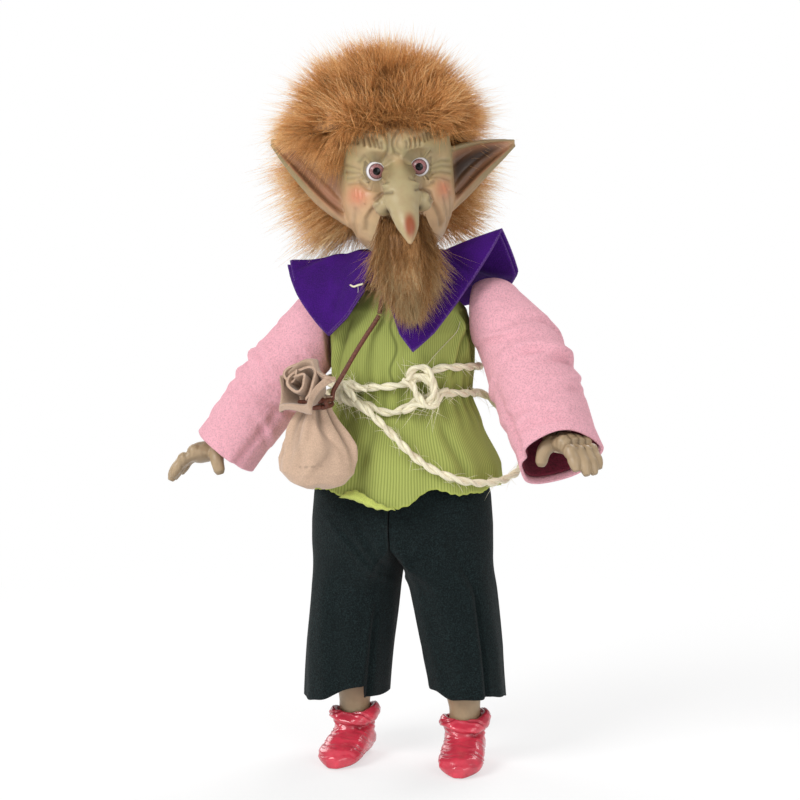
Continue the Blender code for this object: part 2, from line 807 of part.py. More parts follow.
def make_hand(side, wrist, forearm, along, palm, wrist_empty):
    """A cast hand: a tapered palm, four curled fingers and a thumb, on a short wrist."""
    sign = SIDES[side]
    along = along.normalized()
    across = along.cross(palm).normalized() * sign
    palm = across.cross(along).normalized() * sign
    palm_length = HAND_LENGTH * 0.46
    start = wrist + forearm * (GAP * 1.5)
    bend = start + forearm * 0.0030
    path = [start, bend] + [bend + along * (palm_length * t) for t in (0.30, 0.62, 0.95, 1.2)]
    widths = (WRIST_RADIUS, WRIST_RADIUS, HAND_WIDTH * 0.36, HAND_WIDTH * 0.46)
    sizes = list(widths) + [HAND_WIDTH * 0.5, HAND_WIDTH * 0.42]
    rings = limb_rings(path, sizes, 12, 0.52, palm)
    rings[0] = limb_rings([start, bend], sizes[:2], 12, 0.95, palm)[0]
    rings[1] = limb_rings(path[:3], sizes[:3], 12, 0.85, palm)[1]
    hand = solid("hand_" + side, loft(rings), SKIN)
    start = bend
    knuckle_row = start + along * (palm_length * 1.05)
    for i, shift in enumerate((-0.36, -0.12, 0.12, 0.36)):
        root = knuckle_row + across * (HAND_WIDTH * shift) - along * 0.002
        reach = HAND_LENGTH * (0.50, 0.58, 0.56, 0.46)[i]
        spread = across * (shift * 0.30)
        first = root + (along * 0.85 + palm * 0.45 + spread).normalized() * (reach * 0.42)
        tip = first + (along * 0.12 + palm * 1.0 + spread * 0.5).normalized() * (reach * 0.58)
        bend = (root + first) / 2 - palm * 0.0007
        finger = [root, bend, first, (first + tip) / 2, tip]
        widths = [FINGER_RADIUS * s for s in (1.0, 1.05, 1.1, 0.95, 0.6)]
        skin = loft(limb_rings(finger, widths, 7, 1.0, across))
        join(hand, solid(f"finger_{side}_{i}", skin, None, CUTTERS))
    root = start + along * (palm_length * 0.42) - across * (HAND_WIDTH * 0.20)
    knee = root - across * (HAND_WIDTH * 0.26) + along * 0.0012 + palm * 0.0035
    tip = knee + along * 0.0008 + palm * 0.0072 - across * 0.0008
    widths = [FINGER_RADIUS * s for s in (1.25, 1.2, 0.75)]
    thumb = loft(limb_rings([root, knee, tip], widths, 8, 1.0, palm))
    join(hand, solid("thumb_" + side, thumb, None, CUTTERS))
    keep_place(hand, wrist_empty)
    return hand


# Head, in the frame of its empty


def head_size(height):
    """Half width, reach of the face and reach of the nape at a height over the neck."""
    rows = (
        (0.0, 0.0100, 0.0150, 0.0080),
        (0.0022, 0.0135, 0.0215, 0.0120),
        (0.0070, 0.0172, FACE_REACH - 0.0008, 0.0170),
        (0.0150, 0.0212, FACE_REACH, 0.0220),
        (0.0240, 0.0242, FACE_REACH, 0.0260),
        (0.0340, HEAD_HALF_WIDTH - 0.0006, FACE_REACH - 0.0014, NAPE_REACH - 0.002),
        (0.0430, HEAD_HALF_WIDTH, FACE_REACH + 0.0006, NAPE_REACH),
        (0.0530, HEAD_HALF_WIDTH * 0.97, FACE_REACH - 0.0012, NAPE_REACH),
        (0.0615, HEAD_HALF_WIDTH * 0.80, FACE_REACH * 0.72, NAPE_REACH * 0.84),
        (0.0675, HEAD_HALF_WIDTH * 0.54, FACE_REACH * 0.42, NAPE_REACH * 0.60),
        (HEAD_TALL, HEAD_HALF_WIDTH * 0.18, FACE_REACH * 0.12, NAPE_REACH * 0.24),
    )
    return blend_profile(rows, height)


def bump(x, z, at_x, at_z, wide, tall):
    return math.exp(-(((x - at_x) / wide) ** 2) - ((z - at_z) / tall) ** 2)


def face_relief(x, height):
    """How far the face stands out at a place: brows, cheekbones, chin, and sunk eyes."""
    side = abs(x)
    relief = 0.0022 * bump(side, height, 0.0105, 0.0455, 0.0085, 0.0032)
    relief += 0.0022 * bump(side, height, 0.0150, 0.0245, 0.0060, 0.0060)
    relief += 0.0012 * bump(side, height, 0.0, 0.0050, 0.0070, 0.0050)
    relief -= 0.0030 * bump(side, height, EYE_SPREAD, EYE_HEIGHT, 0.0062, 0.0050)
    relief -= 0.0012 * bump(side, height, 0.0, 0.0440, 0.0030, 0.0060)
    return relief


def head_point(angle, height, spare=0.0):
    """A point of the head's skin; angle 0 is the left side and -90 degrees is the face."""
    half_width, face, nape = head_size(height)
    cos, sin = math.cos(angle), math.sin(angle)
    x = (half_width + spare) * cos
    y = (nape + spare if sin > 0 else face + spare) * sin
    if sin < 0:
        y -= face_relief(x, height) * min(1.0, -sin * 1.6)
    return Vector((x, y, height))


def head_rings(heights, count, spare=0.0):
    rings = []
    for height in heights:
        rings.append([head_point(math.tau * j / count, height, spare) for j in range(count)])
    return rings


def make_nose():
    """A long drooping nose with wings, lofted from the bridge down to the tip."""
    rows = (
        ((0.0, -0.0205, 0.0400), 0.0032, 0.0036),
        ((0.0, -0.0250, 0.0340), 0.0034, 0.0036),
        ((0.0, -0.0292, 0.0280), 0.0048, 0.0042),
        ((0.0001, -0.0325, 0.0225), 0.0082, 0.0052),
        ((0.0003, -0.0362, 0.0180), 0.0090, 0.0056),
        ((0.0006, -0.0400, 0.0140), 0.0066, 0.0054),
        ((0.0010, -0.0432, 0.0098), 0.0050, 0.0046),
        ((0.0014, -NOSE_REACH, 0.0062), 0.0040, 0.0036),
        ((0.0016, -NOSE_REACH - 0.0006, 0.0040), 0.0022, 0.0018),
    )
    path = [Vector(row[0]) for row in rows]
    rings = limb_rings(path, [1.0] * len(path), 16, 1.0, (1.0, 0.0, 0.0))
    for i, (_, wide, deep) in enumerate(rows):
        along = (path[min(i + 1, len(path) - 1)] - path[max(i - 1, 0)]).normalized()
        deep_way = along.cross(Vector((1, 0, 0)))
        rings[i] = [
            path[i]
            + Vector((1, 0, 0)) * (wide * math.sin(math.tau * j / 16))
            + deep_way * (deep * math.cos(math.tau * j / 16))
            for j in range(16)
        ]
    return solid("nose_form", loft(rings), None, CUTTERS)


def ear_section(side, t, tip_height):
    """A dished section of the ear, from the head (t = 0) out to its tip (t = 1)."""
    sign = SIDES[side]
    reach = 0.0200 + (EAR_SPAN - 0.0200) * t
    low = 0.0100 + (tip_height - 0.0100 - 0.0010) * t**1.35
    high = 0.0440 + (tip_height + 0.0010 - 0.0440) * t
    high += 0.0020 * math.sin(math.pi * t)
    back = 0.0010 + 0.0120 * t
    thick = 0.0030 - 0.0018 * t
    dish = 0.0060 * math.sin(math.pi * min(1.0, t + 0.12)) * (1 - t) ** 0.4
    middle, half = (low + high) / 2, max(0.0008, (high - low) / 2)
    ring = []
    for j in range(14):
        angle = math.tau * j / 14
        up = math.cos(angle)
        front = math.sin(angle) < 0
        y = back + thick * math.sin(angle) * 0.6
        y += dish * (1 - up * up) if front or abs(up) < 0.999 else 0.0
        ring.append(Vector((sign * reach, y, middle + half * up)))
    return ring


def make_ear(side):
    tip = EAR_TIP_RIGHT if side == "right" else EAR_TIP_LEFT
    rings = [ear_section(side, t, tip) for t in (0.0, 0.14, 0.28, 0.44, 0.6, 0.76, 0.9, 1.0)]
    return solid("ear_form_" + side, loft(rings), None, CUTTERS)


def eye_centre(side):
    x = SIDES[side] * EYE_SPREAD
    skin = -head_point(-math.pi / 2 + x / HEAD_HALF_WIDTH, EYE_HEIGHT).y
    return Vector((x, -skin + EYE_DIAMETER * 0.20, EYE_HEIGHT))


def to_head(*pieces):
    """Moves pieces modelled in the head's own frame to where the head sits."""
    for piece in pieces:
        piece.parent = HEAD_EMPTY


def head_bore_radius():
    """Room for the peg in the head's bore, which leans away from it down the neck."""
    leans = (NECK_HEIGHT - TORSO_TOP - NECK_CLEARANCE) * math.sin(math.radians(HEAD_LEAN))
    return PEG_RADIUS + max(TURN_GAP, leans + GAP)


def make_head():
    heights = (0.0, 0.0022, 0.006, 0.011, 0.016, 0.021, 0.026, 0.031, 0.0365, 0.041)
    heights += (0.0445, 0.048, 0.053, 0.058, 0.0625, 0.067, 0.0695, HEAD_TALL)
    head = solid("head", loft(head_rings(heights, 28)), SKIN)
    neck = rod(
        "neck_form",
        (0, 0.002, TORSO_TOP + NECK_CLEARANCE - NECK_HEIGHT),
        (0, 0.002, 0.006),
        NECK_RADIUS * 0.86,
        None,
        CUTTERS,
        24,
    )
    nose = make_nose()
    ears = [make_ear(side) for side in SIDES]
    join(head, neck, nose, *ears)
    bore = rod(
        "head_bore",
        (0, 0, TORSO_TOP - NECK_HEIGHT - 0.01),
        (0, 0, 0.004 + GAP * 2),
        head_bore_radius(),
        None,
        CUTTERS,
        20,
    )
    sockets = []
    for side in SIDES:
        radius = EYE_DIAMETER / 2 + GAP * 1.5
        centre = eye_centre(side)
        sockets.append(ball("eye_socket_" + side, centre, radius, None, CUTTERS, 16, 8))
    cut(head, *sockets, bore)
    to_head(head, neck, nose, *ears, bore, *sockets)
    for side in SIDES:
        eye = ball("eye_" + side, eye_centre(side), EYE_DIAMETER / 2, EYE_GLASS, None, 16, 8)
        to_head(eye)
    return head


def make_wig():
    """The fur wig: a tufted mop round the skull, open at the face and behind the ears."""
    rows = (
        (0.0065, 0.70, 0.30, 0.64),
        (0.0110, 0.84, 0.36, 0.78),
        (0.0170, 0.93, 0.46, 0.88),
        (0.0240, 0.98, 0.72, 0.94),
        (0.0320, 1.0, 0.92, 0.99),
        (0.0430, 1.0, 1.0, 1.0),
        (0.0540, 1.0, 1.0, 0.99),
        (0.0640, 0.96, 0.97, 0.93),
        (0.0730, 0.84, 0.84, 0.80),
        (0.0810, 0.65, 0.62, 0.60),
        (0.0870, 0.42, 0.38, 0.38),
        (HAIR_TOP, 0.14, 0.12, 0.12),
    )
    rings = []
    for i, (height, wide, fore, aft) in enumerate(rows):
        ring = []
        count = 33
        for j in range(count):
            angle = math.tau * j / count
            tuft = 1.0 + 0.030 * math.cos(HAIR_TUFTS * angle + i * 2.2)
            cos, sin = math.cos(angle), math.sin(angle)
            x = HAIR_SHIFT + HAIR_HALF_WIDTH * wide * cos * tuft
            y = (HAIR_BACK * aft if sin > 0 else HAIR_FRONT * fore) * sin * tuft
            ring.append(Vector((x, y, height)))
        rings.append(ring)
    wig = solid("wig", loft(rings), HAIR_FUR)
    heights = (0.0045, 0.0155, 0.0290, 0.0441, 0.0546, 0.0627, 0.0688, HEAD_TALL + SEAM_GAP * 3)
    skull = solid(
        "skull_clearance", loft(head_rings(heights, 24, SEAM_GAP * 3)), None, CUTTERS
    )
    reach = EAR_SPAN * 1.5
    face = block("face_opening", (-reach, -reach, -0.02), (reach, -0.0040, 0.0585))
    ears = block("ear_opening", (-reach, -0.0050, -0.02), (reach, 0.0172, 0.0568))
    cut(wig, skull, face, ears)
    to_head(wig, skull, face, ears)
    return wig


def make_beard():
    """The fur beard: a crescent of fur round the chin that tapers to a point."""
    rows = (
        (0.0150, 0.0257, 0.0310, 0.62),
        (0.0110, 0.0257, 0.0345, 0.78),
        (0.0050, 0.0260, 0.0375, 0.92),
        (-0.0020, 0.0282, 0.0400, 1.0),
        (-0.0100, 0.0325, 0.0430, 0.95),
        (-0.0180, 0.0352, 0.0445, 0.78),
        (-0.0250, 0.0370, 0.0440, 0.50),
        (-BEARD_LENGTH, 0.0385, 0.0420, 0.20),
    )
    rings = []
    for height, inner, outer, share in rows:
        half = math.radians(BEARD_HALF_ANGLE * share)
        ring = []
        steps = 9
        for i in range(steps):
            turn = -half + 2 * half * i / (steps - 1)
            round_off = 1.0 - 0.16 * (turn / half) ** 2
            reach = inner + (outer - inner) * round_off
            ring.append(Vector((reach * math.sin(turn), -reach * math.cos(turn), height)))
        for i in range(steps):
            turn = half - 2 * half * i / (steps - 1)
            ring.append(Vector((inner * math.sin(turn), -inner * math.cos(turn), height)))
        rings.append(ring)
    beard = solid("beard", loft(rings), BEARD_FUR)
    nose_room = make_nose_room()
    cut(beard, nose_room)
    to_head(beard, nose_room)
    return beard


def make_nose_room():
    """Room for the nose in front of the moustache."""
    rows = (
        ((0.0, -0.030, 0.030), 0.0090),
        ((0.0, -0.036, 0.018), 0.0102),
        ((0.0010, -0.043, 0.010), 0.0068),
        ((0.0015, -0.047, 0.003), 0.0050),
    )
    path = [Vector(row[0]) for row in rows]
    skin = loft(limb_rings(path, [row[1] for row in rows], 16))
    return solid("nose_room", skin, None, CUTTERS)


# Collar

COLLAR_STATIONS = (
    # turn from the front towards the left side, outer reach, outer height
    (-20.0, 0.0300, 0.2200),
    (-34.0, 0.0335, 0.2080),
    (-49.0, 0.0375, 0.2000),
    (-62.0, 0.0415, 0.2065),
    (-75.0, 0.0480, 0.2160),
    (-90.0, 0.0550, 0.2285),
    (-112.0, 0.0540, 0.2270),
    (-140.0, 0.0470, 0.2190),
    (-165.0, 0.0430, 0.2110),
    (170.0, 0.0425, 0.2090),
    (145.0, 0.0455, 0.2120),
    (122.0, 0.0515, 0.2180),
    (103.0, 0.0530, 0.2280),
    (86.0, 0.0475, 0.2475),
    (77.0, 0.0450, 0.2380),
    (68.0, 0.0420, 0.2280),
    (55.0, 0.0388, 0.2150),
    (38.0, 0.0370, 0.2020),
    (22.5, 0.0362, 0.1940),
    (13.0, 0.0338, 0.2020),
    (4.0, 0.0300, 0.2160),
    (-4.0, 0.0262, 0.2270),
)
COLLAR_STEPS = 5


def collar_point(turn, reach, height, t):
    """A point of the collar, t = 0 at the neck seam and t = 1 on the outer edge."""
    neck_height = NECK_HEIGHT + 0.0005
    drop = t + 0.30 * math.sin(math.pi * t) * (1.0 if height > 0.225 else -0.25)
    spread = max(0.0, 1.0 - abs((turn + 180) % 360 - 180) / 60)
    wide = t + 0.17 * math.sin(math.pi * t) * spread
    radius = COLLAR_NECK_RADIUS + (reach - COLLAR_NECK_RADIUS) * min(1.0, wide)
    level = neck_height + (height - neck_height) * min(1.3, drop)
    level = min(level, neck_height + max(0.0, height - neck_height) * t + 0.0)
    angle = math.radians(turn)
    return Vector((radius * math.sin(angle), -radius * math.cos(angle), level))


def make_collar():
    def build(bm):
        rows = []
        for turn, reach, height in COLLAR_STATIONS:
            row = []
            for i in range(COLLAR_STEPS + 1):
                row.append(bm.verts.new(collar_point(turn, reach, height, i / COLLAR_STEPS)))
            rows.append(row)
        for low, high in zip(rows, rows[1:]):
            for i in range(COLLAR_STEPS):
                bm.faces.new((low[i], low[i + 1], high[i + 1], high[i]))

    collar = solid("collar", mesh_from(build), COLLAR_FELT)
    wall = collar.modifiers.new("wall", "SOLIDIFY")
    wall.thickness = COLLAR_WALL
    wall.offset = 0.0
    return collar


# Belt, knots, thong and pouch


def waist_point(degrees, height, stand):
    """A point that stands off the waistcoat, at so many degrees from the left side."""
    angle = math.radians(degrees)
    half_width, half_depth = vest_size(height)
    x = (half_width + stand) * math.cos(angle)
    return Vector((x, (half_depth + stand) * math.sin(angle), height))


def belt_turn(name, rows):
    route = []
    count = VEST_SEGMENTS
    for i in range(count):
        degrees = -180 + 360 * i / count
        (height,) = blend_profile(rows, degrees)
        route.append(waist_point(degrees, height, ROPE_DIAMETER / 2 + SEAM_GAP))
    return cord(name, route, ROPE_DIAMETER, SISAL, closed=True)


def knot(name, degrees, height, strands):
    """Fat strands that cross in front of the turns; each point is (across, up, out) in mm."""
    origin = waist_point(degrees, height, 0.0)
    out = (waist_point(degrees, height, 0.01) - origin).normalized()
    across = Vector((-out.y, out.x, 0.0))
    made = []
    for i, strand in enumerate(strands):
        route = []
        for right, up, stand in strand:
            route.append(
                origin + (across * right + out * stand + Vector((0, 0, up))) * 0.001
            )
        path = smooth_path(route, 2)
        skin = loft(limb_rings(path, [ROPE_DIAMETER * 0.46] * len(path), 7))
        made.append(solid(f"{name}_strand_{i}" if i else name, skin, SISAL, CUTTERS if i else None))
    join(made[0], *made[1:])
    return made[0]


CENTRE_STRANDS = (
    (
        (-6.5, 3.5, 6.6),
        (-4.5, 8.0, 6.8),
        (0.5, 8.8, 6.9),
        (4.0, 4.5, 8.2),
        (4.2, -2.0, 8.2),
        (1.5, -7.0, 6.9),
        (-3.0, -7.5, 6.6),
    ),
    (
        (-6.4, 5.5, 6.8),
        (-4.6, 0.5, 7.0),
        (-2.2, -4.4, 6.8),
        (2.5, -8.6, 6.6),
        (7.2, -6.5, 6.6),
        (8.6, -2.5, 6.6),
    ),
)
SIDE_STRANDS = (
    (
        (-8.0, -2.5, 6.6),
        (-5.5, 2.0, 6.9),
        (-0.5, 4.6, 7.1),
        (4.5, 3.0, 6.8),
        (7.5, 1.8, 6.6),
    ),
    (
        (-7.5, 1.5, 6.6),
        (-4.0, -1.0, 7.6),
        (0.0, -3.6, 7.0),
        (4.0, -4.0, 6.8),
    ),
)


def make_belt():
    belt_turn("belt_rope_upper", UPPER_TURN)
    belt_turn("belt_rope_lower", LOWER_TURN)
    knot("belt_knot_centre", KNOT_CENTRE_TURN, KNOT_CENTRE_HEIGHT, CENTRE_STRANDS)
    knot("belt_knot_side", KNOT_SIDE_TURN, KNOT_SIDE_HEIGHT, SIDE_STRANDS)


def make_tail():
    return cord("rope_tail", smooth_path(TAIL_ROUTE, 1), ROPE_DIAMETER, SISAL)


def make_neck_loop():
    """The thong's loop on the waistcoat's neck edge, and its drop down the chest."""
    height = BODICE_LEVELS[-1] + THONG_DIAMETER / 2 + GAP * 1.5
    half_width, half_depth = vest_size(BODICE_LEVELS[-1])
    top = Vector(POUCH_PIVOT)
    route = [
        top + Vector((0.0001, 0.0002, 0.0008)),
        top + Vector((0.0003, 0.0013, 0.0038)),
        top + Vector((0.0008, 0.0040, 0.0088)),
        top + Vector((0.0020, 0.0072, 0.0115)),
    ]
    for degrees in range(-72, 250, 20):
        angle = math.radians(degrees)
        x = (half_width - VEST_WALL / 2) * math.cos(angle)
        route.append(Vector((x, (half_depth - VEST_WALL / 2) * math.sin(angle), height)))
    return cord("thong_neck_loop", smooth_path(route, 1), THONG_DIAMETER, LEATHER)


def pouch_neck():
    """Middle of the pouch's neck, where the thong is tied round it."""
    return Vector(POUCH_CENTRE) + Vector((0.0015, 0.0, POUCH_HALF_HEIGHT + 0.0012))


def make_thong(pouch_empty):
    """The run of the thong from the chest down to the tie round the pouch's neck."""
    top = Vector(POUCH_PIVOT)
    neck = pouch_neck()
    tie_x = neck.x + POUCH_NECK_RADIUS + THONG_DIAMETER / 2 + GAP * 2
    end = Vector((tie_x, neck.y, neck.z + THONG_DIAMETER / 2 + GAP * 1.8))
    route = (
        top,
        top + Vector((-0.0004, -0.0001, -0.0030)),
        top + Vector((-0.0040, -0.0016, -0.0085)),
        top + Vector((-0.0095, -0.0048, -0.0170)),
        top + Vector((-0.0145, -0.0085, -0.0262)),
        end + Vector((0.0004, 0.0010, 0.0042)),
        end,
    )
    thong = cord("thong_run", smooth_path(route, 2), THONG_DIAMETER, LEATHER)
    keep_place(thong, pouch_empty)
    return thong


def make_pouch(pouch_empty):
    centre = Vector(POUCH_CENTRE)
    rows = (
        (-1.0, 0.30, 0.40),
        (-0.90, 0.66, 0.72),
        (-0.62, 0.96, 0.96),
        (-0.25, 1.0, 1.0),
        (0.12, 0.90, 0.95),
        (0.45, 0.70, 0.82),
        (0.75, 0.47, 0.66),
    )
    rings = []
    for level, wide, deep in rows:
        place = centre + Vector((0.0015 * level, 0.0, POUCH_HALF_HEIGHT * level))
        fold = 0.05 * (level + 1) / 2

        def swell(angle, fold=fold):
            return 1.0 + fold * math.cos(7 * angle)

        rings.append(
            oval(place, POUCH_HALF_WIDTH * wide, POUCH_HALF_DEPTH * deep, 24, None, swell)
        )
    neck_z = centre.z + POUCH_HALF_HEIGHT
    neck = Vector((centre.x + 0.0015, centre.y, neck_z))
    rings.append(oval(neck, POUCH_NECK_RADIUS, POUCH_NECK_RADIUS * 0.95, 24))
    neck_end = neck + Vector((-0.0006, 0, 0.0030))
    rings.append(oval(neck_end, POUCH_NECK_RADIUS, POUCH_NECK_RADIUS, 24))
    bag = solid("pouch_bag", loft(rings), POUCH_CLOTH)
    top = neck + Vector((-0.0006, 0, 0.0030 + GAP))
    ruffle = make_ruffle(top)
    tie_height = pouch_neck().z
    tie_radius = POUCH_NECK_RADIUS + THONG_DIAMETER / 2 + GAP * 2
    tie_route = []
    for i in range(14):
        angle = math.tau * i / 14
        x = neck.x + tie_radius * math.cos(angle)
        tie_route.append(Vector((x, neck.y + tie_radius * math.sin(angle), tie_height)))
    tie = cord("pouch_tie", tie_route, THONG_DIAMETER, LEATHER, closed=True)
    for piece in (bag, ruffle, tie):
        keep_place(piece, pouch_empty)


def make_ruffle(base):
    """The gathered top of the pouch, a pleated rosette that faces forwards."""
    middle = base + Vector((-0.0062, -0.0005, 0.0102))
    front = Vector((0.0, -1.0, 0.0))
    rows = (
        (0.0050, 0.30, 0.0),
        (0.0062, 0.62, 0.25),
        (0.0040, 0.90, 0.8),
        (0.0000, 1.0, 1.0),
        (-0.0040, 0.92, 1.0),
        (-0.0060, 0.66, 0.7),
        (-0.0030, 0.34, 0.3),
    )
    rings = []
    for back, share, pleat in rows:
        ring = []
        count = 36
        for j in range(count):
            angle = math.tau * j / count
            wave = 1.0 + 0.09 * pleat * math.cos(RUFFLE_PLEATS * angle + 0.5)
            reach = RUFFLE_RADIUS * share * wave
            tuck = 0.0010 * pleat * math.sin(RUFFLE_PLEATS * angle)
            ring.append(
                middle
                + Vector((reach * math.cos(angle), 0.0, reach * 0.80 * math.sin(angle)))
                - front * (back + tuck)
            )
        rings.append(ring)
    ruffle = solid("pouch_ruffle", loft(rings), POUCH_CLOTH)
    room = block(
        "ruffle_seat",
        (base.x - 0.03, base.y - 0.03, base.z - 0.03),
        (base.x + 0.03, base.y + 0.03, base.z),
    )
    cut(ruffle, room)
    return ruffle


clear_scene()
PARTS = collection("goblin_doll")
CUTTERS = collection("cutters")

SKIN = material("painted skin", (0.36, 0.27, 0.16), 0.42)
EYE_GLASS = material("eye glass", (0.80, 0.78, 0.74), 0.06)
HAIR_FUR = material("ginger fur", (0.28, 0.12, 0.045), 0.85)
BEARD_FUR = material("beard fur", (0.24, 0.11, 0.05), 0.85)
COLLAR_FELT = material("purple felt", (0.05, 0.008, 0.13), 0.9)
VEST_GREEN = material("green needlecord", (0.28, 0.31, 0.085), 0.85)
SLEEVE_FLEECE = material("pink fleece", (0.87, 0.47, 0.54), 0.92)
TROUSER_FELT = material("dark felt", (0.021, 0.030, 0.032), 0.95)
STUFFED_CLOTH = material("body cloth", (0.62, 0.52, 0.42), 0.9)
BOOT_RED = material("red boots", (0.40, 0.04, 0.06), 0.22)
SISAL = material("sisal", (0.80, 0.74, 0.58), 0.8)
LEATHER = material("brown leather", (0.19, 0.05, 0.025), 0.6)
POUCH_CLOTH = material("beige cloth", (0.55, 0.40, 0.30), 0.9)
TURNED_WOOD = material("turned wood", (0.62, 0.45, 0.26), 0.6)

HEAD_POSE = (
    Matrix.Rotation(math.radians(HEAD_TURN), 4, "Z")
    @ Matrix.Rotation(math.radians(-HEAD_LEAN), 4, "Y")
)
HEAD_EMPTY = axis_empty("neck_axis", (0, 0, NECK_HEIGHT), turn=HEAD_POSE)

make_torso()
make_neck_peg()
make_vest()
make_collar()
make_belt()
make_tail()
make_neck_loop()
make_seat()
make_head()
make_wig()
make_beard()

POUCH_EMPTY = axis_empty("pouch_axis", POUCH_PIVOT)
make_thong(POUCH_EMPTY)
make_pouch(POUCH_EMPTY)

HAND_WAYS = {"right": Vector((-0.90, -0.15, -0.42)), "left": Vector((0.66, -0.66, -0.36))}
PALM_WAYS = {"right": Vector((-0.25, -0.1, -0.95)), "left": Vector((0.20, -0.25, -0.95))}
for SIDE in SIDES:
    ARM = RIGHT_ARM if SIDE == "right" else LEFT_ARM
    SHOULDER = axis_empty("shoulder_axis_" + SIDE, ARM[0])
    FINE = make_sleeve(SIDE, SHOULDER)
    make_arm(SIDE, FINE, SHOULDER)
    LAST = -1 - round(WRIST_STEPS[SIDE])
    WRIST = FINE[LAST]
    FOREARM = (FINE[LAST] - FINE[LAST - 1]).normalized()
    WRIST_AXIS = axis_empty("wrist_axis_" + SIDE, WRIST, SHOULDER)
    make_hand(SIDE, WRIST, FOREARM, HAND_WAYS[SIDE], PALM_WAYS[SIDE], WRIST_AXIS)
    HIP = axis_empty("hip_axis_" + SIDE, trouser_section(SIDE, HIP_HEIGHT)[0])
    make_trouser_leg(SIDE, HIP)
    make_leg(SIDE, HIP)
    make_boot(SIDE, HIP)
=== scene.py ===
"""Goblin doll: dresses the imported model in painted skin, fur, felt, fleece, cord cloth and rope.

It is laid out as an add-on and run as a script. Sizes are in metres in the frame of the part:
z = 0 is the floor, the chest faces -Y and the doll's left side is +X.
"""

import math

import bmesh
import bpy
import numpy as np
from mathutils import Matrix, Vector


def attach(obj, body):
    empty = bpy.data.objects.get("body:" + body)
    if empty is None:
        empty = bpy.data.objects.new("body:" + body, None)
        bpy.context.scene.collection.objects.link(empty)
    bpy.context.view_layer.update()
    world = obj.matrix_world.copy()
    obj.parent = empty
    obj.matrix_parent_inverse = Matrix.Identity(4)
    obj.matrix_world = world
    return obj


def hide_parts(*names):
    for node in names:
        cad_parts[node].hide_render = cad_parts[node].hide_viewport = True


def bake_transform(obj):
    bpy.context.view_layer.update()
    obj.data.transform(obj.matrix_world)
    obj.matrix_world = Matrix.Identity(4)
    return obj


bl_info = {
    "name": "Goblin Doll",
    "version": (1, 0, 0),
    "blender": (4, 5, 0),
    "location": "View3D > Sidebar > Doll",
    "description": "Dresses a jointed goblin doll in fur, felt, fleece, cord cloth and rope",
    "category": "Add Mesh",
}

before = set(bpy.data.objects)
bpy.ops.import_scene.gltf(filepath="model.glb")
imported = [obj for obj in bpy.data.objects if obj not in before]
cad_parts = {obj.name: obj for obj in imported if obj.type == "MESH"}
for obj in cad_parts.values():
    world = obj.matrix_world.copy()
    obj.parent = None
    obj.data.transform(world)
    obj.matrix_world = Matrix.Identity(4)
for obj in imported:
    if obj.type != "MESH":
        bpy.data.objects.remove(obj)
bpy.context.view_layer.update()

MM = 0.001
SIDES = {"right": -1, "left": 1}
NECK_HEIGHT = 0.236
HEAD_MATRIX = (
    Matrix.Translation((0, 0, NECK_HEIGHT))
    @ Matrix.Rotation(math.radians(18), 4, "Z")
    @ Matrix.Rotation(math.radians(-4), 4, "Y")
)
SKULL_CENTRE = (-0.0035, 0.008, 0.05)


def srgb(red, green, blue):
    """Linear values of a colour given as it shows on a screen."""

    def linear(value):
        value /= 255
        return value / 12.92 if value <= 0.04045 else ((value + 0.055) / 1.055) ** 2.4

    return linear(red), linear(green), linear(blue)


def colour(label, what, *shown):
    return bpy.props.FloatVectorProperty(
        name=label, description=what, default=srgb(*shown), subtype="COLOR", min=0, max=1
    )


def length(label, what, default, low=0.0, high=1.0):
    return bpy.props.FloatProperty(
        name=label,
        description=what,
        default=default,
        min=low,
        max=high,
        subtype="DISTANCE",
        unit="LENGTH",
        precision=5,
    )


